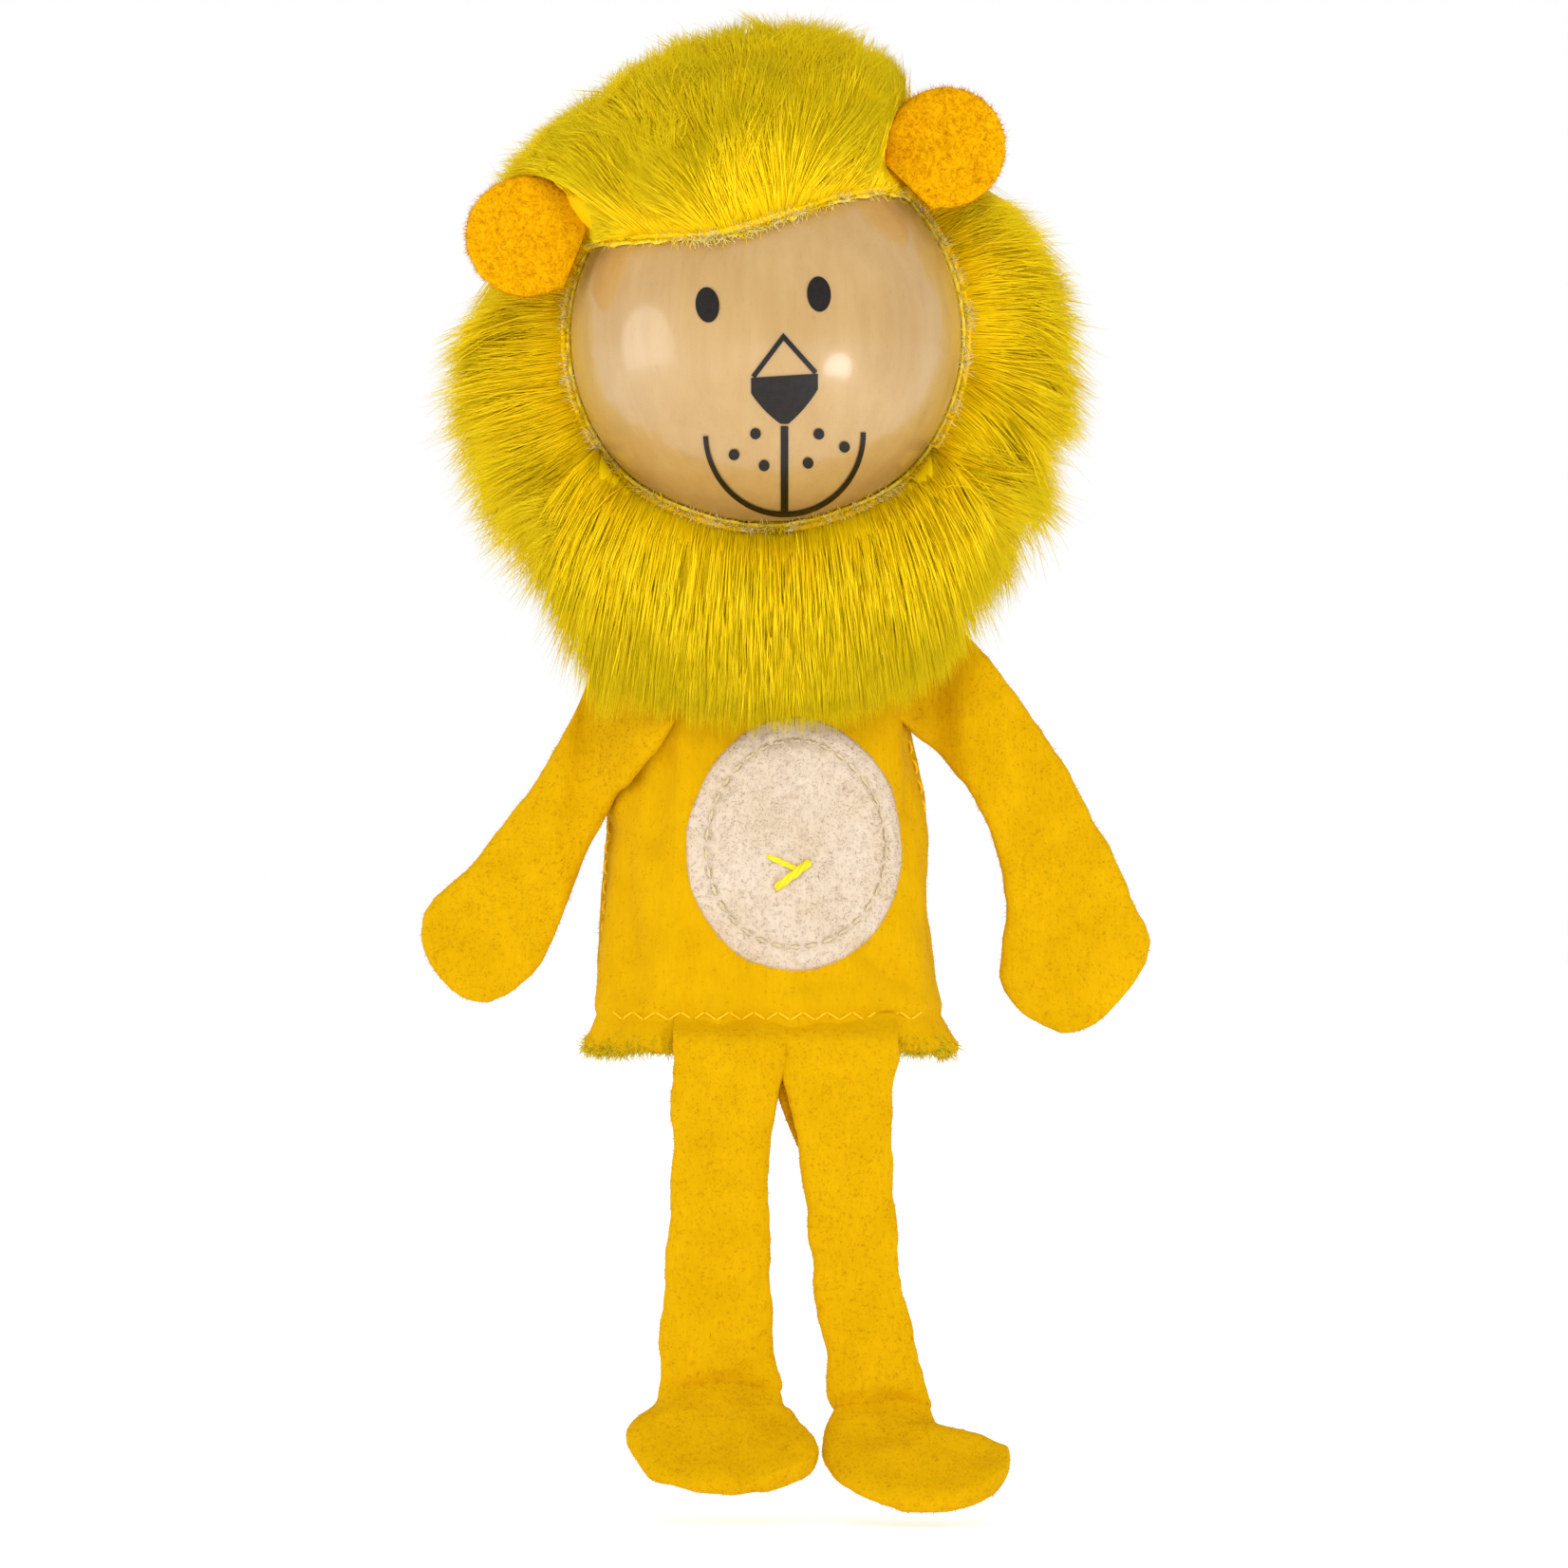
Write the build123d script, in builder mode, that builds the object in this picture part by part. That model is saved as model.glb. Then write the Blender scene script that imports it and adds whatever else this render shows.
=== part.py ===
"""A lion finger puppet: a turned wooden ball head with a fur mane and felt ears, on a cloth
finger tube with dangling cloth arms and legs.

Frame, in millimetres: the origin is the centre of the mouth of the finger tube, +Z runs up the
finger towards the head, and the face looks along -Y. The puppet's own left is on +X.
"""

import os
from math import atan2, cos, degrees, pi, radians, sin

from build123d import *

# ---- driving dimensions -------------------------------------------------------------------
HEAD_R = 18.4  # turned ball
HEAD_Y = -2.5  # the head hangs a little forward of the neck
HEAD_Z = 66.7  # its centre above the mouth of the tube
FINGER_R = 6.8  # passage for the finger
SOCKET_TOP = 70.0  # blind end of the drilled finger socket
SLEEVE = 0.8  # neck cloth
SLEEVE_TOP = 57.0  # the neck is glued this far up the socket
SLEEVE_FOOT = 44.9
NECK_Z = 46.0  # the neck nods and turns here
CLOTH = 1.1  # body cloth
LAYER = 0.95  # one layer of limb cloth
PAINT = 0.12  # thickness of a painted mark
GAP = 0.05  # air between cloth layers that only lie against each other

TUBE = [  # height, width, depth and corner radius of the finger tube
    (0.0, 33.2, 18.0, 6.2),
    (20.0, 29.6, 18.6, 6.5),
    (41.0, 26.2, 18.8, 7.5),
    (45.2, 19.6, 19.2, 9.3),
]
SEAM_GAP = 0.4  # between the front and back panel at each side seam
SEAM_PITCH = 1.9  # one stitch of a side seam
SEAM_THREAD_R = 0.16
SEAM_FOOT = 1.4
SEAM_STITCHES = 21
HEM_Z = 2.75  # zigzag row above the raw hem
HEM_PITCH, HEM_RISE = 1.5, 0.75
HEM_STITCH = (1.28, 0.34)
HEM_THREAD = 0.28
HEM_STITCHES = 19
BINDING_R = 0.3  # thread that gathers the neck
BINDING_TURNS = 2
BINDING_ROOM = 1.75  # from the neck cloth to the middle of that thread, so that the neck can nod

EYE_SIZE = (1.1, 1.65)
EYES = {"right": (-5.4, 68.9, 6), "left": (4.95, 69.9, 4)}  # x, z and lean in degrees
NOSE_X = 1.75
NOSE_TOP, NOSE_BAR, NOSE_FOOT = 65.9, 62.1, 57.9
NOSE_HALF = 3.1
MUZZLE_LINE = 0.7
SMILE_ENDS = ((-5.6, 56.8), (9.1, 57.2))
SMILE_DIP = (NOSE_X, 49.7)
LINE = 0.45  # drawn line
DOT_R = 0.5
DOTS_Z = 55.1
DOTS = [(-2.7, 1.9), (-4.7, 0.0), (-1.9, -1.0), (3.2, 1.9), (5.6, 0.75), (2.2, -0.75)]

MANE_R = 30.6  # fur reaches this far from the ball's centre, seen from the front
MANE_DEPTH = 21.0  # half the fur's depth, front to back
MANE_Y = HEAD_Y + 5.0
MANE_FOOT = NECK_Z + 1.0
RUFF_FRONT = HEAD_Y - 2.0  # the ruff starts about level with the widest ring of the face
BACKING = 0.8  # knitted backing of the fur
FRINGE_Z = HEAD_Z + 9.6  # lower edge of the crown fur over the forehead
FRINGE_TILT = 8.0  # degrees, higher on the puppet's left
CROWN_AT = (-1.5, HEAD_Y - 1.5, HEAD_Z + 9.8)  # middle of the crown fur
CROWN_R, CROWN_DEPTH = 20.4, 18.0
NECK_HOLE = FINGER_R + 4.2  # opening in the backing round the neck

EAR_R = 5.6
EAR_REACH = 24.2  # ear centre from the ball's centre
EAR_THICK = 2.2
EAR_Y = HEAD_Y - 6.5
EAR_ROOT = 19.2  # the ear's glued root, from the ball's centre
EAR_ROOT_HALF = 3.2
EAR_ROOM = 1.2  # parting in the fur round each ear
EAR_ANGLES = {"left": 46.0, "right": 158.0}  # degrees up from +X

BEARD_Y = -13.5  # back of the beard
BEARD_TOP = 54.0
BEARD_FOOT = 31.6
BEARD_PILE = 3.6
BEARD_HALF = 14.5

PATCH_X, PATCH_Z = 2.7, 18.9
PATCH_HALF = (10.1, 11.9)
PATCH_THICK = 1.0
PATCH_THREAD = 0.3
PATCH_INSET = 1.9  # running stitch from the patch's edge
PATCH_STITCHES = 34
PATCH_STITCH = (1.15, 0.36)
NAVEL = [  # middle, lean in degrees, length and width of the two bars
    ((1.9, 16.2), 35, 4.7, 0.95),
    ((1.0, 16.9), -28, 3.0, 0.7),
]

BEND_GAP = 0.5  # cloth stops this far from a bend
ARM_ROOTS = {"left": (29.2, 42.8), "right": (20.6, 33.6)}  # foot and top of each arm's seam
ARMS = {  # hinge line, then outer arm, thumb corner, heel, hand end, palm, wrist and inner arm
    "left": (
        15.2,
        [(26.0, 29.6), (36.2, 10.0), (34.2, 4.8), (28.0, 1.0), (22.2, 6.0), (22.8, 13.0), (20.4, 21.6)],
    ),
    "right": (
        15.9,
        [(24.6, 21.0), (32.2, 12.4), (30.9, 6.2), (27.3, 3.9), (21.8, 7.0), (19.4, 11.6), (18.0, 15.8)],
    ),
}
ARM_TAB = 2.0  # seam allowance caught in the side seam
ARM_TAB_IN = 1.6  # its middle, inward of the hinge line

HIP_Z = -1.3  # the legs bend here, just under the hem
TAB_BACK = -TUBE[0][2] / 2 - 2 * GAP  # the legs' tops are sewn on over the front of the hem
TAB_THICK = 0.9
TAB_TOP = HEM_Z - HEM_RISE
TAB_IN = 0.5  # the sewn top is this much narrower on each side than the leg
LEG_Y = TAB_BACK - LAYER - GAP  # middle of the leg's thickness
LEGS = {  # ankle height, then inner and outer x at the hip, calf and ankle
    "right": (-32.6, (1.7, -8.7), (0.2, -9.1), (1.4, -10.4)),
    "left": (-34.2, (1.9, 12.3), (4.3, 12.4), (5.9, 15.6)),
}
CALF = 0.55  # how far down the leg the calf's width is taken

FOOT_TILT = 47.0  # degrees forward of straight down
FOOT_LEN = 12.4
FEET = {  # ankle middle, then how far the foot reaches inward and outward of it
    "right": (-4.5, 9.9, 8.0),
    "left": (10.7, 4.9, 12.0),
}
FOOT_CORNER = 4.6  # the outer corner, this far down the foot
ANKLE_HALF = 4.7

os.makedirs("parts", exist_ok=True)
head_centre = (0, HEAD_Y, HEAD_Z)


def save(part, name):
    """Labels a finished piece and writes it as its own file."""
    part.label = name
    export_step(part, f"parts/{name}.step")


# ---- shared solids ------------------------------------------------------------------------
def tube_body(grow=0.0):
    """The finger tube as a filled solid, grown outwards by an amount."""
    with BuildPart() as body:
        for z, width, depth, corner in TUBE:
            with BuildSketch(Plane.XY.offset(z)):
                RectangleRounded(width + 2 * grow, depth + 2 * grow, corner + grow)
        loft(ruled=True)
    return body.part


def tube_skin(inner, outer):
    """A thin layer that follows the tube's outer surface, between two distances from it."""
    with BuildPart() as skin:
        add(tube_body(outer))
        add(tube_body(inner), mode=Mode.SUBTRACT)
    return skin.part


def ball_skin(inner, outer):
    """A thin layer that follows the ball, between two radii."""
    with BuildPart() as skin:
        with Locations(head_centre):
            Sphere(outer)
            Sphere(inner, mode=Mode.SUBTRACT)
    return skin.part


def on_skin(skin, outline, name):
    """Keeps the part of a skin that lies in front of a flat outline."""
    with BuildPart() as piece:
        add(skin)
        extrude(outline, amount=60, dir=(0, -1, 0), mode=Mode.INTERSECT)
    save(piece.part, name)
    return piece.part


# ---- head: ball, finger socket and painted marks --------------------------------------------
def make_head_ball():
    with BuildPart() as head_ball:
        with Locations(head_centre):
            Sphere(HEAD_R)
        with BuildSketch(Plane.XY.offset(SOCKET_TOP)):
            Circle(FINGER_R)
        extrude(amount=-2 * HEAD_R, mode=Mode.SUBTRACT)
        with BuildSketch(Plane.XY.offset(SLEEVE_TOP)):
            Circle(FINGER_R + SLEEVE + GAP)
        extrude(amount=-HEAD_R, mode=Mode.SUBTRACT)
    save(head_ball.part, "head_ball")


def make_face_paint():
    paint_skin = ball_skin(HEAD_R + 0.01, HEAD_R + PAINT)
    for side, (x, z, lean) in EYES.items():
        with BuildSketch(Plane.XZ) as eye:
            with Locations(Location((x, z), lean)):
                Ellipse(*EYE_SIZE)
        on_skin(paint_skin, eye.sketch, f"{side}_eye")

    with BuildSketch(Plane.XZ) as nose:
        with BuildLine():
            bar = Line((NOSE_X - NOSE_HALF, NOSE_BAR), (NOSE_X + NOSE_HALF, NOSE_BAR + 0.4))
            right_cheek = (NOSE_X + NOSE_HALF, NOSE_BAR - 1.0)
            left_cheek = (NOSE_X - NOSE_HALF, NOSE_BAR - 1.4)
            Line(bar @ 1, right_cheek)
            Spline(right_cheek, (NOSE_X + 1.7, NOSE_BAR - 2.9), (NOSE_X + 0.35, NOSE_FOOT))
            Line((NOSE_X + 0.35, NOSE_FOOT), (NOSE_X - 0.35, NOSE_FOOT))
            Spline((NOSE_X - 0.35, NOSE_FOOT), (NOSE_X - 1.7, NOSE_BAR - 3.1), left_cheek)
            Line(left_cheek, bar @ 0)
        make_face()
    on_skin(paint_skin, nose.sketch, "nose")

    with BuildSketch(Plane.XZ) as bridge:
        with BuildLine():
            Polyline(
                (NOSE_X - NOSE_HALF + 0.2, NOSE_BAR + 0.1),
                (NOSE_X - 0.1, NOSE_TOP),
                (NOSE_X + NOSE_HALF - 0.2, NOSE_BAR + 0.5),
            )
        trace(line_width=LINE)
    on_skin(paint_skin, bridge.sketch, "nose_bridge")

    with BuildSketch(Plane.XZ) as muzzle:
        with Locations((NOSE_X, (NOSE_FOOT + SMILE_DIP[1]) / 2)):
            Rectangle(MUZZLE_LINE, NOSE_FOOT - SMILE_DIP[1] - LINE)
    on_skin(paint_skin, muzzle.sketch, "muzzle_line")

    with BuildSketch(Plane.XZ) as smile:
        with BuildLine():
            ThreePointArc(SMILE_ENDS[0], SMILE_DIP, SMILE_ENDS[1])
        trace(line_width=LINE)
    on_skin(paint_skin, smile.sketch, "smile")

    with BuildSketch(Plane.XZ) as whiskers:
        with Locations([(NOSE_X + dx, DOTS_Z + dz) for dx, dz in DOTS]):
            Circle(DOT_R)
    on_skin(paint_skin, whiskers.sketch, "whisker_dots")


# ---- mane ---------------------------------------------------------------------------------
def fur_volume(x, y, z, radius, half_depth):
    """A flattened ball of fur, round when seen from the front."""
    with BuildPart() as volume:
        with BuildSketch(Plane.XY.offset(z)):
            with Locations((x, y)):
                Ellipse(radius, half_depth)
                with Locations((-radius, 0)):
                    Rectangle(2 * radius, 2 * half_depth, mode=Mode.SUBTRACT)
        revolve(axis=Axis((x, 0, z), (0, 1, 0)), revolution_arc=360)
    return volume.part


tilt = radians(FRINGE_TILT)
fringe = Plane(origin=(0, 0, FRINGE_Z), z_dir=(-sin(tilt), 0, cos(tilt)))


def face_window():
    """Everything in front of the ruff and under the fringe line, where the bare face shows."""
    size = 4 * MANE_R
    with BuildPart() as window:
        with Locations((0, RUFF_FRONT - size / 2, HEAD_Z)):
            Box(size, size, size)
        split(bisect_by=fringe, keep=Keep.BOTTOM)
    return window.part


def ear_place(side, reach):
    angle = radians(EAR_ANGLES[side])
    return (reach * cos(angle), HEAD_Z + reach * sin(angle))


def make_mane():
    with BuildPart() as mane_backing:
        add(ball_skin(HEAD_R + GAP, HEAD_R + GAP + BACKING))
        add(face_window(), mode=Mode.SUBTRACT)
        with Locations((0, 0, HEAD_Z - HEAD_R)):
            Cylinder(NECK_HOLE, HEAD_R, mode=Mode.SUBTRACT)
    save(mane_backing.part, "mane_backing")

    under_fur = HEAD_R + BACKING + 2 * GAP
    with BuildPart() as mane_ruff:
        add(fur_volume(0, MANE_Y, HEAD_Z, MANE_R, MANE_DEPTH))
        with Locations(head_centre):
            Sphere(under_fur, mode=Mode.SUBTRACT)
        with Locations((0, RUFF_FRONT - 2 * MANE_R, HEAD_Z)):
            Box(4 * MANE_R, 4 * MANE_R, 4 * MANE_R, mode=Mode.SUBTRACT)
        with Locations((0, 0, MANE_FOOT - MANE_R)):
            Box(4 * MANE_R, 4 * MANE_R, 2 * MANE_R, mode=Mode.SUBTRACT)
        with Locations((0, 0, MANE_FOOT)):
            Cylinder(NECK_HOLE + 2.0, HEAD_R, mode=Mode.SUBTRACT)
    save(mane_ruff.part, "mane_ruff")

    with BuildPart() as mane_crown:
        add(fur_volume(*CROWN_AT, CROWN_R, CROWN_DEPTH))
        split(bisect_by=fringe, keep=Keep.TOP)
        with Locations((0, RUFF_FRONT - GAP - 2 * MANE_R, HEAD_Z)):
            Box(4 * MANE_R, 4 * MANE_R, 4 * MANE_R, mode=Mode.INTERSECT)
        with Locations(head_centre):
            Sphere(under_fur, mode=Mode.SUBTRACT)
        for side in EAR_ANGLES:
            with BuildSketch(Plane.XZ):
                with Locations(ear_place(side, EAR_REACH)):
                    Circle(EAR_R + EAR_ROOM)
            extrude(amount=2 * MANE_R, mode=Mode.SUBTRACT)
    save(mane_crown.part, "mane_crown")


def make_ears():
    for side, angle in EAR_ANGLES.items():
        x, z = ear_place(side, EAR_ROOT)
        outward = (cos(radians(angle)), 0, sin(radians(angle)))
        root = Plane(origin=(x, EAR_Y, z), x_dir=outward, z_dir=(0, -1, 0))
        stem = EAR_REACH - EAR_ROOT
        with BuildPart() as ear:
            with BuildSketch(root.offset(-EAR_THICK / 2)):
                with Locations((stem, 0)):
                    Circle(EAR_R)
                Polygon(
                    (0, -EAR_ROOT_HALF), (stem, -EAR_R), (stem, EAR_R), (0, EAR_ROOT_HALF), align=None
                )
                with Locations((-EAR_R, 0)):
                    Rectangle(2 * EAR_R, 4 * EAR_R, mode=Mode.SUBTRACT)
            extrude(amount=EAR_THICK)
        save(ear.part, f"{side}_ear")


def beard_layer(back, thick, inset, name):
    """One layer of the bib of fur that hangs from the chin, cut round the ball."""
    foot = BEARD_FOOT + inset
    with BuildPart() as layer:
        with BuildSketch(Plane.XZ.offset(-back)):
            with BuildLine():
                top = Line((inset - BEARD_HALF, BEARD_TOP), (BEARD_HALF - inset, BEARD_TOP))
                Spline(top @ 1, (12.5 - inset, BEARD_FOOT + 11), (6.8, foot + 1.9), (0, foot))
                Spline((0, foot), (-6.8, foot + 1.9), (-12.5 + inset, BEARD_FOOT + 11), top @ 0)
            make_face()
            with Locations((0, HEAD_Z)):
                Circle(HEAD_R + 0.6, mode=Mode.SUBTRACT)
        extrude(amount=thick)
    save(layer.part, name)


def make_beard():
    beard_layer(BEARD_Y, BACKING, 0.8, "beard_backing")
    beard_layer(BEARD_Y - BACKING - GAP, BEARD_PILE, 0.0, "beard_pile")


# ---- neck ---------------------------------------------------------------------------------
def make_neck():
    with BuildPart() as neck_sleeve:
        with BuildSketch(Plane.XY.offset(SLEEVE_FOOT)):
            Circle(FINGER_R + SLEEVE)
            Circle(FINGER_R, mode=Mode.SUBTRACT)
        extrude(amount=SLEEVE_TOP - SLEEVE_FOOT)
    save(neck_sleeve.part, "neck_sleeve")

    lowest = TUBE[-1][0] + BINDING_R + 2 * GAP
    with BuildPart() as neck_binding:
        with Locations([(0, 0, lowest + 2.1 * BINDING_R * n) for n in range(BINDING_TURNS)]):
            Torus(FINGER_R + SLEEVE + BINDING_ROOM, BINDING_R)
    save(neck_binding.part, "neck_binding")


# ---- body tube ----------------------------------------------------------------------------
def make_tube():
    size = 4 * TUBE[-1][0]
    for name, y_side in (("front_panel", -1), ("back_panel", 1)):
        with BuildPart() as panel:
            add(tube_body())
            add(tube_body(-CLOTH), mode=Mode.SUBTRACT)
            with Locations((0, y_side * (size + SEAM_GAP) / 2, 0)):
                Box(size, size, size, mode=Mode.INTERSECT)
        save(panel.part, name)


def side_x(z):
    """Half the tube's width at a height."""
    for (z0, w0, _, _), (z1, w1, _, _) in zip(TUBE, TUBE[1:]):
        if z0 <= z <= z1:
            return (w0 + (w1 - w0) * (z - z0) / (z1 - z0)) / 2


def make_side_seams():
    """Short stitches in each side gap, left out where the arm is sewn in."""
    for side, sign in (("left", 1), ("right", -1)):
        foot, top = ARM_ROOTS[side]
        heights = [SEAM_FOOT + SEAM_PITCH * n for n in range(SEAM_STITCHES)]
        with BuildPart() as seam:
            for z in heights:
                if not foot - 1.0 < z < top + 1.0:
                    with Locations((sign * (side_x(z) - CLOTH * 0.8), 0, z)):
                        Cylinder(SEAM_THREAD_R, SEAM_PITCH * 0.72)
        save(seam.part, f"{side}_side_seam")


def make_hem_stitches():
    """A zigzag row round the hem, front and back."""
    skin = tube_skin(GAP, GAP + HEM_THREAD)
    with BuildPart() as stitches:
        for direction in (-1, 1):
            with BuildSketch(Plane.XZ):
                for n in range(HEM_STITCHES):
                    x = (n - (HEM_STITCHES - 1) / 2) * HEM_PITCH
                    lean = atan2(HEM_RISE, HEM_PITCH * 0.8) * (1 if n % 2 else -1)
                    with Locations(Location((x, HEM_Z), degrees(lean))):
                        SlotOverall(*HEM_STITCH)
            extrude(amount=-direction * TUBE[0][2])
        add(skin, mode=Mode.INTERSECT)
    save(stitches.part, "hem_stitches")


def ring_points(half_x, half_z, count):
    """Places and headings spaced evenly enough round an oval."""
    for n in range(count):
        t = 2 * pi * n / count
        heading = degrees(atan2(half_z * cos(t), -half_x * sin(t)))
        yield Location((PATCH_X + half_x * cos(t), PATCH_Z + half_z * sin(t)), heading)


def make_patch():
    with BuildSketch(Plane.XZ) as oval:
        with Locations((PATCH_X, PATCH_Z)):
            Ellipse(*PATCH_HALF)
    on_skin(tube_skin(GAP, PATCH_THICK), oval.sketch, "tummy_patch")

    thread_skin = tube_skin(PATCH_THICK + 0.02, PATCH_THICK + PATCH_THREAD)
    row = [half - PATCH_INSET for half in PATCH_HALF]
    with BuildSketch(Plane.XZ) as running:
        with Locations(*ring_points(*row, PATCH_STITCHES)):
            SlotOverall(*PATCH_STITCH)
    on_skin(thread_skin, running.sketch, "patch_stitches")

    with BuildSketch(Plane.XZ) as cross:
        for middle, lean, length, width in NAVEL:
            with Locations(Location(middle, lean)):
                SlotOverall(length, width)
    on_skin(thread_skin, cross.sketch, "navel_stitch")


# ---- limbs --------------------------------------------------------------------------------
def two_layers(outline, y, name):
    """Front and back cloth of a flat limb, from one outline on the XZ plane."""
    for layer, way in (("front", -1), ("back", 1)):
        with BuildPart() as cloth:
            add(Location((0, y + way * GAP, 0)) * outline)
            extrude(amount=LAYER, dir=(0, way, 0))
        save(cloth.part, f"{name}_{layer}")


def make_arms():
    for side, (hinge_x, points) in ARMS.items():
        sign = 1 if side == "left" else -1
        foot, top = ARM_ROOTS[side]
        root_x = hinge_x + BEND_GAP
        seam_foot, seam_top = (sign * root_x, foot), (sign * root_x, top)
        outer, thumb, heel, end, palm, wrist, inner = [(sign * x, z) for x, z in points]
        with BuildSketch(Plane.XZ) as outline:
            with BuildLine():
                Line(seam_foot, seam_top)
                Spline(seam_top, outer, thumb)
                Spline(thumb, heel, end, palm, wrist, inner, seam_foot)
            make_face()
        two_layers(outline.sketch, 0.0, f"{side}_arm")
        with BuildPart() as tab:
            with Locations((sign * (hinge_x - ARM_TAB_IN), 0, (foot + top) / 2)):
                Box(ARM_TAB, SEAM_GAP - GAP, top - foot - ARM_TAB / 2)
        save(tab.part, f"{side}_arm_tab")


def make_legs():
    for side, (ankle_z, hip, calf, ankle) in LEGS.items():
        top = HIP_Z - BEND_GAP
        foot = ankle_z + BEND_GAP
        calf_z = top + (foot - top) * CALF
        with BuildSketch(Plane.XZ) as outline:
            with BuildLine():
                Line((hip[0], top), (hip[1], top))
                Spline((hip[1], top), (calf[1], calf_z), (ankle[1], foot))
                Line((ankle[1], foot), (ankle[0], foot))
                Spline((ankle[0], foot), (calf[0], calf_z), (hip[0], top))
            make_face()
        two_layers(outline.sketch, LEG_Y, f"{side}_leg")
        with BuildPart() as tab:
            with BuildSketch(Plane.XZ.offset(-TAB_BACK)):
                with Locations(((hip[0] + hip[1]) / 2, (BEND_GAP + TAB_TOP) / 2)):
                    Rectangle(abs(hip[0] - hip[1]) - 2 * TAB_IN, TAB_TOP - BEND_GAP)
            extrude(amount=TAB_THICK)
        save(tab.part, f"{side}_leg_tab")


def make_feet():
    start = 3 * BEND_GAP
    slope = radians(FOOT_TILT)
    for side, (middle, inner, outer) in FEET.items():
        out = 1 if side == "left" else -1
        crease = Plane(
            origin=(middle, LEG_Y, LEGS[side][0]), x_dir=(1, 0, 0), z_dir=(0, cos(slope), -sin(slope))
        )
        with BuildSketch(crease) as outline:
            with BuildLine():
                inner_ankle, outer_ankle = (-ANKLE_HALF * out, start), (ANKLE_HALF * out, start)
                corner = (outer * out, FOOT_CORNER)
                Line(inner_ankle, outer_ankle)
                Line(outer_ankle, corner)
                Spline(
                    corner,
                    ((outer - 1.2) * out, FOOT_LEN * 0.78),
                    ((outer - inner) / 2 * out, FOOT_LEN),
                    ((1.0 - inner) * out, FOOT_LEN * 0.72),
                    inner_ankle,
                )
            make_face()
        for layer, way in (("upper", -1), ("sole", 1)):
            with BuildPart() as cloth:
                add(Location(crease.z_dir * GAP * way) * outline.sketch)
                extrude(amount=LAYER, dir=crease.z_dir * way)
            save(cloth.part, f"{side}_foot_{layer}")


make_head_ball()
make_face_paint()
make_mane()
make_ears()
make_beard()
make_neck()
make_tube()
make_side_seams()
make_hem_stitches()
make_patch()
make_arms()
make_legs()
make_feet()
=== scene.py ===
"""A lion finger puppet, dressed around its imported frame.

The wooden ball head, the fur, the felt ears and every cloth part are built here as final meshes.
Lengths are in millimetres until build() writes a mesh. The face looks along -Y. A mesh is a tuple
of points, triangles, the texture places of their corners, and the points' tints.
"""

import math

import bpy
import numpy as np
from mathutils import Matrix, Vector


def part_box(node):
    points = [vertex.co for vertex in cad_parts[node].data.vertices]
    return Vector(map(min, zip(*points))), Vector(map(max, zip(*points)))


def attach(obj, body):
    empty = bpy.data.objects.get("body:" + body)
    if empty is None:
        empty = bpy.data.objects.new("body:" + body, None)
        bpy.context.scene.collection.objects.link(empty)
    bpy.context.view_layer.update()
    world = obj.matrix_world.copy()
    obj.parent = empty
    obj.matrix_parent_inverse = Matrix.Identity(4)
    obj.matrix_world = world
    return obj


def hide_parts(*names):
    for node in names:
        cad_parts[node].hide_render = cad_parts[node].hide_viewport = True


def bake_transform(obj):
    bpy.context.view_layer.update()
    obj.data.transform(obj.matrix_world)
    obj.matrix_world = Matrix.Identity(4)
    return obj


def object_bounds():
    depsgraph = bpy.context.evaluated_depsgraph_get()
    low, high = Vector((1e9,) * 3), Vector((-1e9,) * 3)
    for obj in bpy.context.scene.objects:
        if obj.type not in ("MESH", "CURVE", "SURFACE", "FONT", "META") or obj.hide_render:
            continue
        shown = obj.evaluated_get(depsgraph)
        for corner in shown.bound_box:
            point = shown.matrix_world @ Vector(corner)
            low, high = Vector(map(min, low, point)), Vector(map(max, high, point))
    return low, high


MM = 0.001
TAU = 2 * math.pi
PLAIN = np.ones(3)  # the tint of a piece whose material has its own colours
FORWARD = np.array([0.0, -1.0, 0.0])

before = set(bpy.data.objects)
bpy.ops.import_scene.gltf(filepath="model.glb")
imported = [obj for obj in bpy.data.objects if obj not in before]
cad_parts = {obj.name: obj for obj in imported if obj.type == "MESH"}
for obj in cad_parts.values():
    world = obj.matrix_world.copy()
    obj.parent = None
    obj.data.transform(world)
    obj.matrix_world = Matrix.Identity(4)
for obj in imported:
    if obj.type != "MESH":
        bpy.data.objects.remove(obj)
cad_low, cad_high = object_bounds()
rng = np.random.default_rng(11)


# ---- small helpers ----
def box_mm(node):
    low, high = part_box(node)
    return np.array(low) / MM, np.array(high) / MM


def unit(vectors):
    length = np.linalg.norm(vectors, axis=-1, keepdims=True)
    return vectors / np.maximum(length, 1e-9)


def smoothstep(low, high, value):
    t = np.clip((value - low) / (high - low), 0, 1)
    return t * t * (3 - 2 * t)


def linear(red, green, blue):
    """A screen colour, 0 to 255, as the linear values that materials use."""
    screen = np.array([red, green, blue]) / 255
    return np.where(screen <= 0.04045, screen / 12.92, ((screen + 0.055) / 1.055) ** 2.4)


def lumps(points, size, seed, waves=9):
    """Smooth unevenness between about -1 and 1, whose bumps are size mm apart."""
    dice = np.random.default_rng(seed)
    total = np.zeros(points.shape[:-1])
    for _ in range(waves):
        way = unit(dice.normal(size=3)) * TAU / size * dice.uniform(0.6, 1.5)
        total += np.sin(points @ way + dice.uniform(0, TAU))
    return total / math.sqrt(waves)


def circle(count):
    """Even turns round a circle, with their cosines and sines."""
    turn = np.arange(count) * TAU / count
    return turn, np.cos(turn), np.sin(turn)


def distance_along(chain):
    """How far along a chain each of its points is."""
    return np.append(0, np.cumsum(np.linalg.norm(np.diff(chain, axis=0), axis=1)))


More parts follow.
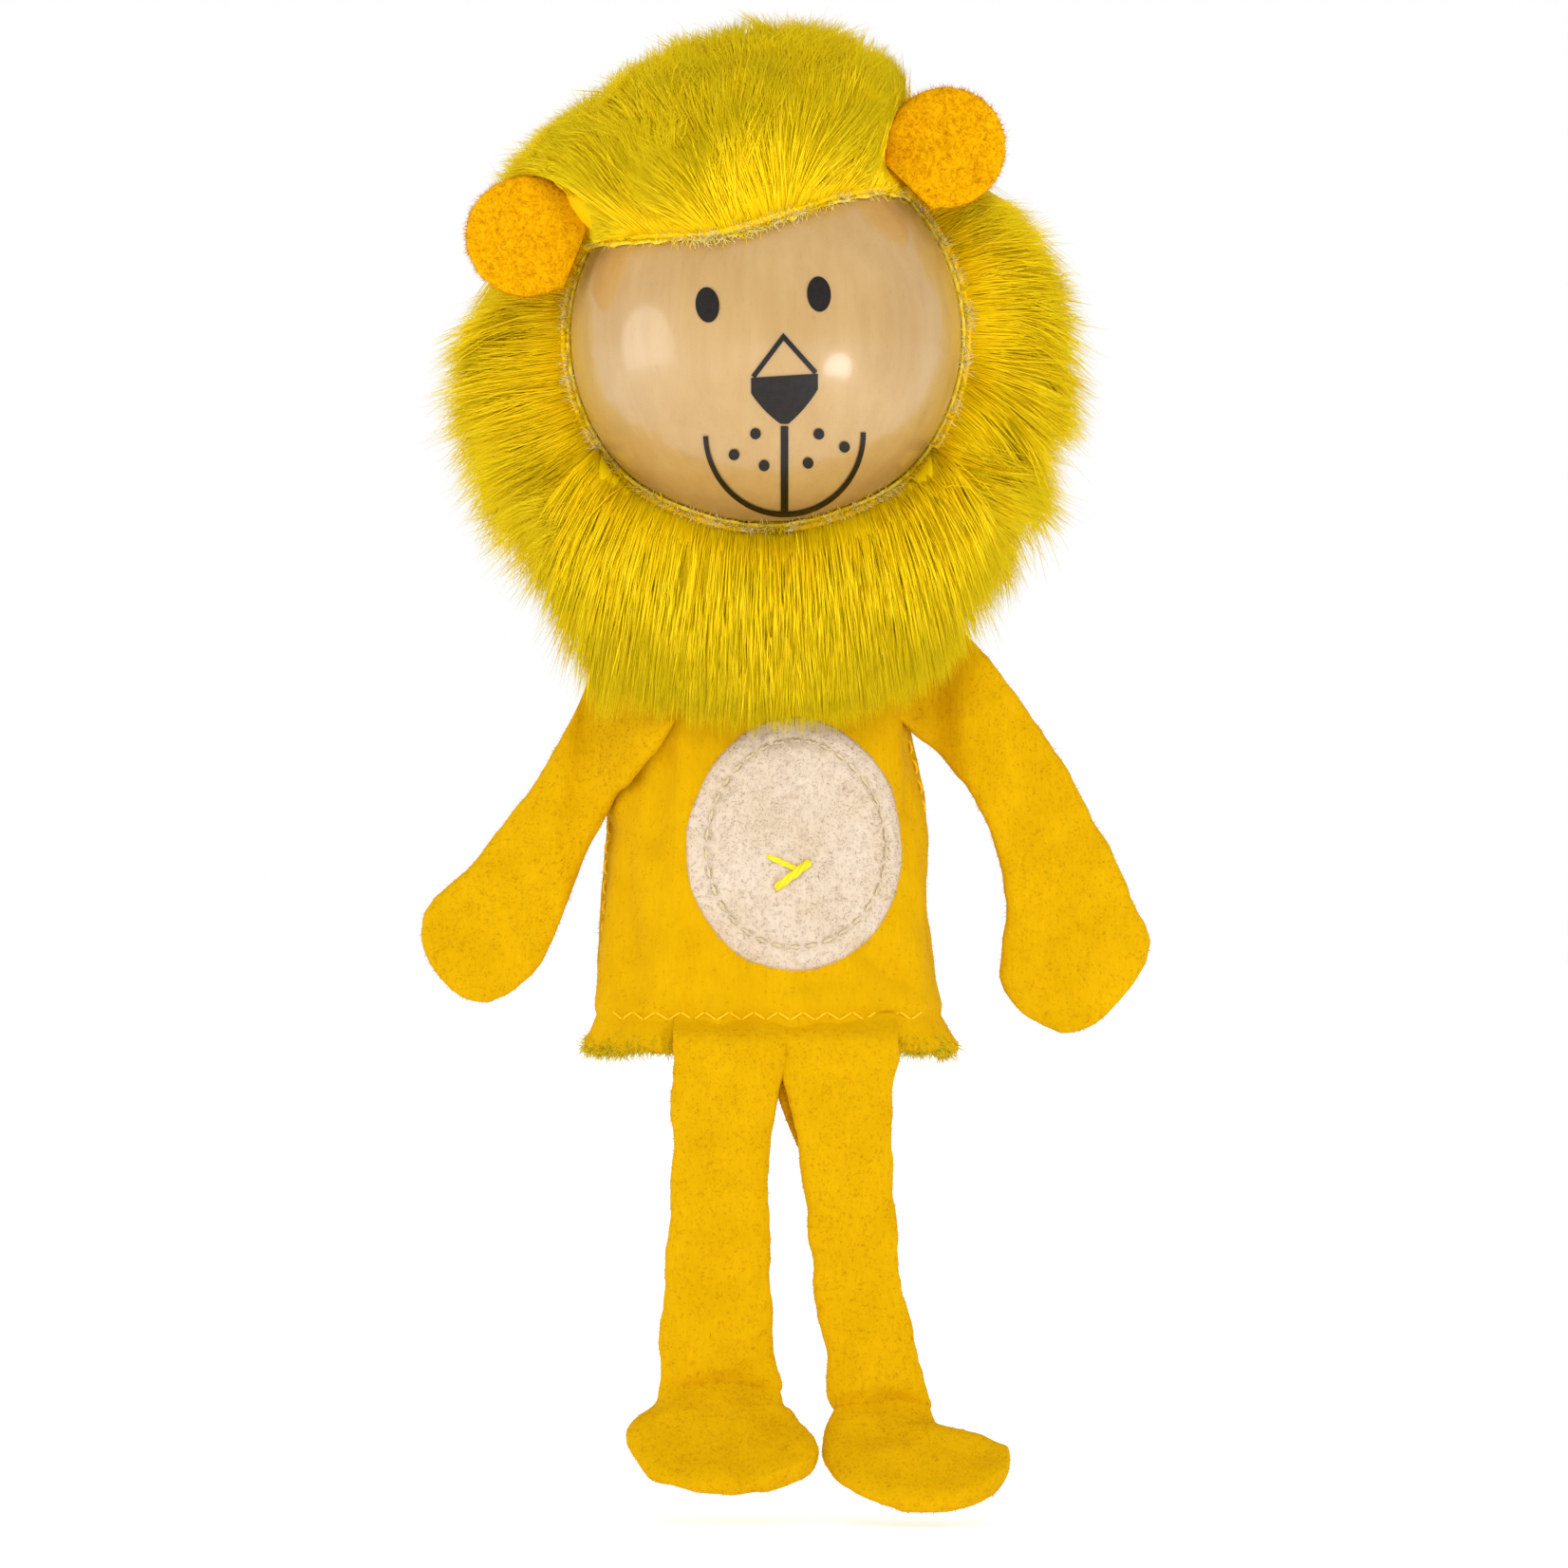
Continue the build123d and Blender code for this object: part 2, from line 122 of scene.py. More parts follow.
# ---- mesh building ----
def grid(rows, cols, wrap_rows=False):
    """Triangles, and a texture place for each corner, of a sheet that closes round its columns."""
    last = rows if wrap_rows else rows - 1
    r, c = np.meshgrid(np.arange(last), np.arange(cols), indexing="ij")
    corners, places = [], []
    for dr, dc in ((0, 0), (0, 1), (1, 1), (1, 0)):
        corners.append(((r + dr) % rows) * cols + (c + dc) % cols)
        places.append(np.stack([(c + dc) / cols, (r + dr) / last], -1))
    order = [0, 1, 2, 0, 2, 3]
    tris = np.stack([corners[k] for k in order], -1).reshape(-1, 3)
    uvs = np.stack([places[k] for k in order], -2).reshape(-1, 3, 2)
    return tris, uvs


def fan(ring, centre, place):
    """Triangles that close a ring of points onto one centre point."""
    ring = np.asarray(ring)
    tris = np.stack([np.roll(ring, -1), ring, np.full(len(ring), centre)], -1)
    return tris, np.full((len(ring), 3, 2), place, float)


def join(*meshes):
    """One (points, triangles, texture places, tints) from several."""
    points, tris, uvs, tints, start = [], [], [], [], 0
    for p, t, u, c in meshes:
        points.append(p)
        tris.append(t + start)
        uvs.append(u)
        tints.append(np.broadcast_to(c, (len(p), 3)))
        start += len(p)
    return np.concatenate(points), np.concatenate(tris), np.concatenate(uvs), np.concatenate(tints)


def volume(points, tris):
    a, b, c = points[tris[:, 0]], points[tris[:, 1]], points[tris[:, 2]]
    return np.einsum("ij,ij->i", a, np.cross(b, c)).sum() / 6


def facing_out(points, tris, uvs):
    if volume(points, tris) < 0:
        return tris[:, ::-1], uvs[:, ::-1]
    return tris, uvs


def looped(rings, tint=PLAIN):
    """A closed mesh from rings of points, the last of which joins the first."""
    points = np.reshape(rings, (-1, 3))
    tris, uvs = grid(len(rings), len(rings[0]), wrap_rows=True)
    return points, *facing_out(points - points.mean(0), tris, uvs), tint


def capped(rings, ends, tint=PLAIN):
    """A closed mesh from rings of points, with a centre point that closes each end."""
    rows, cols = len(rings), len(rings[0])
    points = np.concatenate([np.reshape(rings, (-1, 3)), ends])
    tris, uvs = grid(rows, cols)
    last = rows * cols
    start = fan(np.arange(cols), last, (0, 0))
    finish = fan(last - cols + np.arange(cols)[::-1], last + 1, (0, 1))
    tris = np.concatenate([tris, start[0], finish[0]])
    uvs = np.concatenate([uvs, start[1], finish[1]])
    return points, *facing_out(points - points.mean(0), tris, uvs), tint


def build(name, mesh, finish, body=None, nodes=()):
    """A smooth shaded object in metres, which rides on a body and stands for some CAD nodes."""
    points, tris, uvs, tints = mesh
    data = bpy.data.meshes.new(name)
    data.vertices.add(len(points))
    data.vertices.foreach_set("co", (points * MM).astype(np.float32).ravel())
    data.loops.add(tris.size)
    data.loops.foreach_set("vertex_index", tris.astype(np.int32).ravel())
    data.polygons.add(len(tris))
    data.polygons.foreach_set("loop_start", np.arange(0, tris.size, 3, dtype=np.int32))
    data.update(calc_edges=True)
    data.polygons.foreach_set("use_smooth", np.ones(len(tris), bool))
    layer = data.uv_layers.new(name="OFBake")
    layer.data.foreach_set("uv", uvs.astype(np.float32).ravel())
    tint = data.attributes.new("tint", "FLOAT_COLOR", "POINT")
    tints = np.broadcast_to(tints, (len(points), 3))
    tint.data.foreach_set("color", np.c_[tints, np.ones(len(tints))].astype(np.float32).ravel())
    data.materials.append(finish)
    piece = bpy.data.objects.new(name, data)
    bpy.context.scene.collection.objects.link(piece)
    if body:
        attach(piece, body)
    if nodes:
        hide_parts(*nodes)
    return piece


def hairs(root, bend, tip, radius, colour_root, colour_tip, rings=3, places=None):
    """Closed three-sided hairs on curves that leave root towards bend and end at tip."""
    count = len(root)
    t = np.linspace(0, 1, rings + 1)[None, :, None]
    path = (1 - t) ** 2 * root[:, None] + 2 * t * (1 - t) * bend[:, None] + t**2 * tip[:, None]
    along = unit(np.gradient(path, axis=1))
    side = unit(np.cross(along, rng.normal(size=(count, 1, 3))))
    across = np.cross(along, side)
    turn = np.arange(3) * TAU / 3
    wide = (np.asarray(radius) * np.ones(count))[:, None, None, None] * (1 - 0.7 * t[..., None])
    rim = side[:, :, None] * np.cos(turn)[:, None] + across[:, :, None] * np.sin(turn)[:, None]
    tube = path[:, :, None] + rim * wide
    points = np.concatenate([tube[:, :rings].reshape(count, -1, 3), path[:, -1:]], 1)
    end = 3 * rings
    faces = [(0, 2, 1)]
    for k in range(rings - 1):
        for j in range(3):
            a, b = 3 * k + j, 3 * k + (j + 1) % 3
            faces += [(a, b, b + 3), (a, b + 3, a + 3)]
    faces += [(end - 3 + j, end - 3 + (j + 1) % 3, end) for j in range(3)]
    faces = np.array(faces)
    height = np.append(np.repeat(np.arange(rings) / rings, 3), 1.0)
    if places is None:
        columns = int(math.sqrt(count * 2)) + 1
        lines = math.ceil(count / columns)
        cell = np.arange(count)
        left = (cell % columns + 0.2) / columns
        low = (cell // columns + 0.05) / lines
        step = np.append(np.tile([0.0, 0.5, 1.0], rings), 0.5)
        u = left[:, None] + step[None] * 0.6 / columns
        v = low[:, None] + height[None] * 0.9 / lines
        uvs = np.stack([u[:, faces], v[:, faces]], -1).reshape(-1, 3, 2)
    else:
        uvs = np.repeat(places, len(faces), 0)[:, None].repeat(3, 1)
    fade = height[None, :, None]
    tints = colour_root[:, None] * (1 - fade) + colour_tip[:, None] * fade
    points = points.reshape(-1, 3)
    if volume(points[: end + 1], faces) < 0:
        faces = faces[:, ::-1]
        uvs = uvs[:, ::-1]
    tris = (faces[None] + (np.arange(count) * (end + 1))[:, None, None]).reshape(-1, 3)
    return points, tris, uvs, tints.reshape(-1, 3)


def locks(root, tip, count, pull):
    """Draws hair tips together into locks round a few leading hairs."""
    lead = rng.choice(len(root), count, replace=False)
    nearest = np.empty(len(root), int)
    for start in range(0, len(root), 2000):
        block = root[start : start + 2000]
        gap = ((block[:, None] - root[lead][None]) ** 2).sum(-1)
        nearest[start : start + 2000] = lead[gap.argmin(1)]
    target = tip[nearest] + (root - root[nearest]) * 0.25
    return tip + (target - tip) * (pull * rng.uniform(0.3, 1.0, (len(root), 1)))


def fuzz(mesh, count, length, radius, lean=(0, 0, 0), spread=0.7, keep=None):
    """A mesh together with short fibres that stand on its surface, where keep allows them."""
    points, tris, uvs, _ = mesh
    a, b, c = points[tris[:, 0]], points[tris[:, 1]], points[tris[:, 2]]
    normal = np.cross(b - a, c - a)
    area = np.linalg.norm(normal, axis=1)
    if keep is not None:
        area = area * keep((a + b + c) / 3)
    pick = rng.choice(len(tris), count, p=area / area.sum())
    w = rng.dirichlet((1, 1, 1), count)
    root = (points[tris[pick]] * w[..., None]).sum(1)
    place = (uvs[pick] * w[..., None]).sum(1)
    out = unit(unit(normal[pick]) + spread * rng.normal(size=(count, 3)) + np.array(lean))
    size = length * rng.uniform(0.5, 1.3, (count, 1))
    bend = root + out * size * 0.5
    tip = root + out * size + rng.normal(size=(count, 3)) * size * 0.25
    shade = PLAIN * rng.uniform(0.85, 1.15, (count, 1))
    return join(mesh, hairs(root - out * 0.05, bend, tip, radius, shade, shade, rings=2, places=place))


def brushed(mesh, count, keep=None):
    """Brushed cloth: a mesh with a nap of fine fibres that lean down."""
    return fuzz(mesh, count, 0.34, 0.022, lean=(0, 0, -0.4), keep=keep)


def thread(path, radius, ply=3, twist=1.6, sides=6):
    """A closed twisted thread along a path: a few plies wound round each other."""
    path = np.asarray(path, float)
    along = unit(np.gradient(path, axis=0))
    ref = np.array([0.0, -1.0, 0.15]) if abs(along[:, 1]).max() < 0.95 else np.array([1.0, 0, 0])
    side = unit(np.cross(along, ref))
    across = np.cross(side, along)
    run = distance_along(path)
    taper = np.sqrt(np.clip(np.minimum(run, run[-1] - run) / radius, 0.08, 1))
    strand_r = radius * (0.55 if ply > 1 else 1.0)
    _, cos, sin = circle(sides)
    rim = side[:, None] * cos[:, None] + across[:, None] * sin[:, None]
    shift = radius * 0.48 * (ply > 1)
    meshes = []
    for k in range(ply):
        angle = TAU * k / ply + run * TAU / (twist * 2 * radius * 3)
        offset = side * np.cos(angle)[:, None] + across * np.sin(angle)[:, None]
        centre = path + offset * (shift * taper)[:, None]
        rings = centre[:, None] + rim * (strand_r * taper)[:, None, None]
        meshes.append(capped(rings, centre[[0, -1]]))
    return join(*meshes)


# ---- materials ----
def material(name, roughness, **inputs):
    """A new Principled material with its node tree and main shader."""
    made = bpy.data.materials.new(name)
    made.use_nodes = True
    shader = made.node_tree.nodes["Principled BSDF"]
    shader.inputs["Roughness"].default_value = roughness
    for key, value in inputs.items():
        shader.inputs[key.replace("_", " ")].default_value = value
    return made, made.node_tree, shader


def noise_node(tree, size, detail=3.0, stretch=(1, 1, 1)):
    """Noise whose grain is size mm, optionally stretched along an axis."""
    place = tree.nodes.new("ShaderNodeTexCoord")
    mapping = tree.nodes.new("ShaderNodeMapping")
    mapping.inputs["Scale"].default_value = [1 / s for s in stretch]
    texture = tree.nodes.new("ShaderNodeTexNoise")
    texture.inputs["Scale"].default_value = 1 / (size * MM)
    texture.inputs["Detail"].default_value = detail
    tree.links.new(place.outputs["Object"], mapping.inputs["Vector"])
    tree.links.new(mapping.outputs["Vector"], texture.inputs["Vector"])
    return texture


def ramp(tree, texture, low, high):
    """A texture as a colour that goes from one (position, colour) to another."""
    node = tree.nodes.new("ShaderNodeValToRGB")
    for element, (position, colour) in zip(node.color_ramp.elements, (low, high)):
        element.position = position
        element.color = (*colour, 1)
    tree.links.new(texture.outputs["Fac"], node.inputs["Fac"])
    return node.outputs["Color"]


def multiply(tree, factor, a, b):
    node = tree.nodes.new("ShaderNodeMix")
    node.data_type = "RGBA"
    node.blend_type = "MULTIPLY"
    node.inputs["Factor"].default_value = factor
    tree.links.new(a, node.inputs["A"])
    tree.links.new(b, node.inputs["B"])
    return node.outputs["Result"]


def add_bump(tree, shader, texture, depth):
    """Bump from a texture, depth mm high."""
    bump = tree.nodes.new("ShaderNodeBump")
    bump.inputs["Distance"].default_value = depth * MM
    bump.inputs["Strength"].default_value = 1.0
    tree.links.new(texture.outputs["Fac"], bump.inputs["Height"])
    tree.links.new(bump.outputs["Normal"], shader.inputs["Normal"])


def cloth_material(name, low, high, depth=0.08):
    """Brushed cloth between two screen colours: soft blotches and fine fibres that run down it."""
    low, high = linear(*low), linear(*high)
    sheen = {"Sheen_Weight": 0.12, "Sheen_Roughness": 0.5, "Sheen_Tint": (*high, 1)}
    made, tree, shader = material(name, 0.9, Specular_IOR_Level=0.05, **sheen)
    blotch = noise_node(tree, 4.0, 4.0)
    fibre = noise_node(tree, 0.35, 5.0, (1, 1, 4.0))
    broad = ramp(tree, blotch, (0.3, low), (0.7, high))
    fine = ramp(tree, fibre, (0.3, (0.91,) * 3), (0.65, (1.0,) * 3))
    tree.links.new(multiply(tree, 0.8, broad, fine), shader.inputs["Base Color"])
    add_bump(tree, shader, fibre, depth)
    return made


def fur_material():
    """Takes its colour from each hair's own tint."""
    sheen = {"Sheen_Weight": 0.7, "Sheen_Roughness": 0.6, "Sheen_Tint": (*FUR_LIGHT, 1)}
    made, tree, shader = material("yellow pile", 0.6, Specular_IOR_Level=0.12, **sheen)
    tint = tree.nodes.new("ShaderNodeAttribute")
    tint.attribute_name = "tint"
    tree.links.new(tint.outputs["Color"], shader.inputs["Base Color"])
    return made


def wood_material():
    """Pale wood, its grain upright, under a clear varnish."""
    made, tree, shader = material("varnished wood", 0.36, Coat_Weight=0.8, Coat_Roughness=0.13)
    grain = noise_node(tree, 1.3, 4.0, (1, 1, 7))
    patches = noise_node(tree, 11.0, 2.5)
    pores = noise_node(tree, 0.28, 2.0, (1, 1, 4))
    lines = ramp(tree, grain, (0.3, linear(184, 147, 88)), (0.7, linear(191, 155, 98)))
    warm = ramp(tree, patches, (0.35, (0.90, 0.86, 0.78)), (0.65, (1, 1, 1)))
    fine = ramp(tree, pores, (0.25, (0.93, 0.91, 0.88)), (0.4, (1, 1, 1)))
    colour = multiply(tree, 1.0, multiply(tree, 1.0, lines, warm), fine)
    tree.links.new(colour, shader.inputs["Base Color"])
    add_bump(tree, shader, grain, 0.008)
    return made


def ink_material():
    """The face's black paint, a little thin in places."""
    shine = {"Coat_Weight": 0.25, "Coat_Roughness": 0.2, "Specular_IOR_Level": 0.25}
    made, tree, shader = material("black ink", 0.45, **shine)
    patchy = noise_node(tree, 0.5, 3.0)
    colour = ramp(tree, patchy, (0.3, linear(8, 5, 2)), (0.7, linear(24, 15, 7)))
    tree.links.new(colour, shader.inputs["Base Color"])
    return made


FUR_LIGHT = linear(255, 227, 4)
FUR_MID = linear(254, 222, 2)
# painted shade: the darker colour of the hairs' feet and the underfur, where the pile shades itself
FUR_PAINTED_SHADE = linear(252, 204, 0)
# painted light: paler tips that stand in for light shining through the thin hair ends
FUR_LIT_TIP = linear(255, 238, 60)
CREAM = linear(244, 234, 196)

fur_finish = fur_material()
wood_finish = wood_material()
ink_finish = ink_material()
cloth_finish = cloth_material("yellow brushed cloth", (206, 156, 0), (215, 165, 2))
# a darker copy of the yellow cloth: painted shade, for cloth that lies in shadow between the thighs
shaded_seam_finish = cloth_material("yellow cloth darkened as painted shade", (178, 120, 0), (192, 134, 0))
felt_finish = cloth_material("orange felt", (228, 164, 0), (236, 175, 2), depth=0.1)
patch_finish = cloth_material("cream pile", (212, 191, 164), (219, 202, 182), depth=0.1)
thread_finish = cloth_material("yellow thread", (244, 190, 20), (252, 206, 40), depth=0.03)
cream_thread_finish = cloth_material("cream thread", (206, 188, 150), (224, 208, 172), depth=0.03)
navel_finish = cloth_material("bright thread", (240, 214, 30), (250, 228, 60), depth=0.03)


# ---- head ----
INK_NODES = ("left_eye", "right_eye", "nose", "nose_bridge", "muzzle_line", "smile", "whisker_dots")
ball_low, ball_high = box_mm("head_ball")
BALL_R = (ball_high[0] - ball_low[0]) / 2
BALL = np.array([0.0, (ball_low[1] + ball_high[1]) / 2, ball_high[2] - BALL_R])
sleeve_low, sleeve_high = box_mm("neck_sleeve")
SLEEVE_R = (sleeve_high[0] - sleeve_low[0]) / 2
SOCKET_TOP = 70.0  # where a fingertip meets the end of the drilled socket
SOCKET_R = SLEEVE_R - 0.8


def make_head():
    """The ball as a turned skin with its socket drilled up from below."""
    around, down = 192, 120
    hole = SLEEVE_R + 0.05
    _, cos, sin = circle(around)
    spokes = np.stack([cos, sin], -1)
    from_ball = spokes * hole - BALL[:2]
    drop = np.sqrt(BALL_R**2 - (from_ball**2).sum(-1))
    end = unit(np.c_[from_ball, -drop])
    flat = unit(end * np.array([1, 1, 0]))
    top = np.array([0.0, 0.0, 1.0])
    rings = []
    for k in range(1, down + 1):
        angle = np.arccos(end[:, 2])[:, None] * (k / down)
        rings.append(BALL + BALL_R * (top * np.cos(angle) + flat * np.sin(angle)))
    middle = (rings[-1][:, 2].max() + sleeve_high[2]) / 2
    inside = [(hole, middle), (hole, sleeve_high[2]), (SOCKET_R, sleeve_high[2])]
    inside += [(SOCKET_R, sleeve_high[2] + 6), (SOCKET_R, SOCKET_TOP)]
    for radius, z in inside:
        rings.append(np.c_[spokes * radius, np.full(around, z)])
    ball = capped(rings, [BALL + BALL_R * top, np.array([0, 0, SOCKET_TOP])])
    build("wooden_head", ball, wood_finish, "head", ["head_ball"])
    for node in INK_NODES:
        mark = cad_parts[node].data
        mark.materials.clear()
        mark.materials.append(ink_finish)


# ---- mane ----
# How far the fur reaches from the ball's centre in the front view, by angle up from +X.
REACH = np.array([
    (-90, 36), (-62, 36), (-52, 35), (-30, 32.5), (-10, 31.6), (15, 29.5), (30, 26.4), (37, 23), (54, 23.5),
    (62, 28.6), (70, 30.4), (84, 30.6), (100, 29.8), (130, 28.9), (150, 30), (156, 25.5), (167, 25),
    (174, 29), (182, 31), (205, 33), (228, 34.5), (240, 37), (270, 36),
])  # fmt: skip
REACH_DEEP = 24.5  # the same, in front of the face and behind the head
HOOD_R = BALL_R + 0.9
FRINGE_LOW, FRINGE_RISE = 8.3, 4.6  # the fringe line above the ball's centre
FRINGE_SPAN = (-6.0, 12.0)  # it rises between these places
RING = math.radians(93.0)  # how far back from the middle of the face the backing's edge lies
CHIN_FORWARD = math.radians(19.0)  # and how much further forward it is under the chin
NECK_ROOM = 8.0
BINDING_ROOM = 10.6
BINDING_TOP = box_mm("neck_binding")[1][2] + 0.7
HOOD_FOOT, NECK_TOP = 30.0, 58.0  # the neck is cut out of the hood between these heights
SHOULDER_Z = box_mm("front_panel")[1][2] + 2.0
SHOULDER_HALF, SHOULDER_POWER = np.array([15.0, 10.8]), 2.6  # the tube's shoulders, seen from above
EARS = ("left", "right")
EAR_CLEAR = 5.7
EAR_ROOT = 2.6
BACK_OF_HEAD = 1.9  # hair further back than this angle is combed down, not outwards or forward
ROOT_DEPTH = 0.25
LAY, SWAY, STRAY = 0.55, 0.15, 0.07  # how far hair leans with the combing, in waves, and by chance
TUFT_SIZE, TUFT_RISE = 2.6, 0.07
LOCK_HAIRS, LOCK_PULL = 22, 0.6
CROP = 0.4  # what is left of the hair in front of an ear


def spot(phi, alpha, radius):
    """A point near the ball: phi round the face from +X upwards, alpha back from its middle."""
    flat = np.sin(alpha)
    way = np.stack([flat * np.cos(phi), -np.cos(alpha), flat * np.sin(phi)], -1)
    return BALL + way * np.asarray(radius)[..., None]


def edge_table():
    """The angle from the middle of the face at which the fur's backing starts, all the way round."""
    phi = np.linspace(0, TAU, 721)[:, None]
    alpha = np.linspace(0.02, math.pi / 2, 400)[None]
    x = BALL_R * np.sin(alpha) * np.cos(phi)
    z = BALL_R * np.sin(alpha) * np.sin(phi)
    above = z > FRINGE_LOW + FRINGE_RISE * smoothstep(*FRINGE_SPAN, x)
    fringe = alpha[0][above.argmax(1)]
    chin = RING - CHIN_FORWARD * smoothstep(-0.55, -0.97, np.sin(phi[:, 0]))
    return phi[:, 0], np.where(above.any(1), fringe, chin)


EDGE_PHI, EDGE_ALPHA = edge_table()


def face_edge(phi):
    return np.interp(phi % TAU, EDGE_PHI, EDGE_ALPHA)


def outer_reach(phi, alpha):
    """How far the fur reaches from the ball's centre in any direction."""
    wide = np.interp((phi + math.pi / 2) % TAU - math.pi / 2, np.radians(REACH[:, 0]), REACH[:, 1])
    return 1 / np.sqrt((np.sin(alpha) / wide) ** 2 + (np.cos(alpha) / REACH_DEEP) ** 2)


def under_reach(phi, alpha):
    """The underfur, which is thin at the backing's edge and half as deep as the pile behind it."""
    depth = smoothstep(0.0, math.radians(24), alpha - face_edge(phi))
    pile = outer_reach(phi, alpha) - HOOD_R
    low = smoothstep(-0.5, -0.9, np.sin(phi) * np.sin(alpha))
    return HOOD_R + 0.1 + pile * 0.5 * depth * (1 - 0.8 * low)


def make_underfur():
    """The dense lower pile, as one closed hood round the back of the ball, open at the neck."""
    around, rows = 200, 90
    phi, _, _ = circle(around)
    s = np.arange(rows) / (rows - 1)
    alpha = face_edge(phi)[None] + (math.pi - 0.001 - face_edge(phi))[None] * s[:, None]
    phi = np.broadcast_to(phi, alpha.shape)
    outer = spot(phi, alpha, under_reach(phi, alpha))
    uneven = lumps(outer, 5.0, 3) * 0.5 * smoothstep(0, 0.2, s)[:, None]
    outer += unit(outer - BALL) * uneven[..., None]
    inner = spot(phi, alpha, np.full(alpha.shape, BALL_R + 0.06))
    # the underfur takes the darker fur colour: painted shade deep in the pile
    hood = looped(np.concatenate([outer, inner[::-1]]), FUR_PAINTED_SHADE)
    piece = build("mane_underfur", hood, fur_finish, "head", ["mane_ruff", "mane_crown"])
    cut_neck(piece)


def cut_neck(piece):
    """Opens a closed hood round the neck and the thread that binds it."""
    profile = [(BINDING_ROOM, HOOD_FOOT), (BINDING_ROOM, BINDING_TOP)]
    profile += [(NECK_ROOM, BINDING_TOP), (NECK_ROOM, NECK_TOP)]
    _, cos, sin = circle(96)
    rings = [np.stack([r * cos, r * sin, np.full(96, z)], -1) for r, z in profile]
    cutter = build("neck_cutter", capped(rings, [(0, 0, HOOD_FOOT), (0, 0, NECK_TOP)]), fur_finish)
    hole = piece.modifiers.new("neck", "BOOLEAN")
    hole.operation = "DIFFERENCE"
    hole.object = cutter
    hole.solver = "EXACT"
    bpy.context.view_layer.objects.active = piece
    bpy.ops.object.modifier_apply(modifier="neck")
    bpy.data.objects.remove(cutter)


def scatter(count, phi_range, alpha_range):
    """Random places round the ball, even over its surface, behind the face's edge."""
    phi = rng.uniform(*phi_range, count * 3)
    low, high = alpha_range
    alpha = np.arccos(rng.uniform(np.cos(high), np.cos(low), count * 3))
    return keep_roots(phi, alpha, alpha > face_edge(phi) + 0.01, count)


def keep_roots(phi, alpha, good, count):
    """Leaves out hair that would start on the neck, or under an ear and come through it."""
    root = spot(phi, alpha, under_reach(phi, alpha))
    low = root[:, 2] < BALL[2]
    good &= ~(low & (np.hypot(root[:, 0], root[:, 1]) < NECK_ROOM + 0.4))
    for side in EARS:
        centre = sum(box_mm(f"{side}_ear")) / 2
        near = np.hypot(root[:, 0] - centre[0], root[:, 2] - centre[2]) < EAR_ROOT
        good &= ~(near & (root[:, 1] < centre[1] + 2.5))
    return phi[good][:count], alpha[good][:count]


def fur_tints(root):
    """Colours for the foot and the tip of each hair: soft patches and a little chance, a darker foot as
    painted shade deep in the pile, and some paler tips as painted light shining through the hair ends.
    """
    count = len(root)
    patch = 0.5 + 0.5 * np.clip(lumps(root, 6.5, 5), -1, 1)[:, None]
    chance = rng.uniform(0, 1, (count, 1))
    light = patch * 0.55 + chance * 0.45
    tip = FUR_MID * (1 - light) + FUR_LIGHT * light
    tip = tip * (1 - 0.3 * chance) + FUR_LIT_TIP * 0.3 * chance
    foot = FUR_PAINTED_SHADE * (1 - light * 0.6) + FUR_MID * light * 0.6
    return foot, tip


def comb(name, phi, alpha, radial, fall, radius, lengths=(0.55, 1.14), lift=0.5):
    """Hair from the underfur to the mane's outer surface, combed away from the face and down."""
    forward = 0.12 + 0.75 * smoothstep(0.55, 0.95, 0.5 - 0.5 * np.sin(phi)) * (alpha < BACK_OF_HEAD)
    root = spot(phi, alpha, under_reach(phi, alpha) - ROOT_DEPTH)
    out = unit(root - BALL)
    sideways = unit((root - BALL) * np.array([1, 0, 1]))
    outward = radial * np.where(alpha > BACK_OF_HEAD, np.sin(alpha), 1)[:, None]
    down = np.array([0, 0, -1]) * fall[:, None]
    lay = unit(sideways * outward + down + FORWARD * forward[:, None])
    sway = np.stack([lumps(root, 7.0, 90 + k) for k in range(3)], -1) * SWAY
    aim = unit(out + lay * LAY + sway + rng.normal(size=root.shape) * STRAY)
    aim_phi = np.arctan2(aim[:, 2], aim[:, 0])
    aim_alpha = np.arctan2(np.linalg.norm(aim[:, [0, 2]], axis=1), -aim[:, 1])
    reach = outer_reach(aim_phi, aim_alpha)
    tuft = 1 + TUFT_RISE * lumps(root, TUFT_SIZE, 77)[:, None]
    part = rng.uniform(*lengths, (len(root), 1)) ** 0.8 * tuft
    tip = root + (BALL + aim * reach[:, None] - root) * part
    tip = clear_of_torso(locks(root, tip, len(root) // LOCK_HAIRS, LOCK_PULL))
    stand = root + out * np.linalg.norm(tip - root, axis=1, keepdims=True) * lift
    bend = stand * 0.6 + (root + tip) * 0.2
    short = ~clears_ears(root, bend, tip)
    for end in (bend, tip):
        end[short] = root[short] + (end[short] - root[short]) * CROP
    clear = clears_ears(root, bend, tip)
    root, bend, tip = root[clear], bend[clear], tip[clear]
    foot_tint, tip_tint = fur_tints(root)
    thick = radius * rng.uniform(0.6, 1.2, len(root))
    build(name, hairs(root, bend, tip, thick, foot_tint, tip_tint), fur_finish, "head")


def clears_ears(root, bend, tip):
    """True for hairs whose middle and tip don't stand in front of an ear."""
    return beside_ears(tip) & beside_ears((root + 2 * bend + tip) / 4)


def beside_ears(points):
    """True for points that don't stand in front of an ear."""
    good = np.ones(len(points), bool)
    for side in EARS:
        low, high = box_mm(f"{side}_ear")
        centre = (low + high) / 2
        near = np.hypot(points[:, 0] - centre[0], points[:, 2] - centre[2]) < EAR_CLEAR
        good &= ~(near & (points[:, 1] < high[1] + 0.6))
    return good


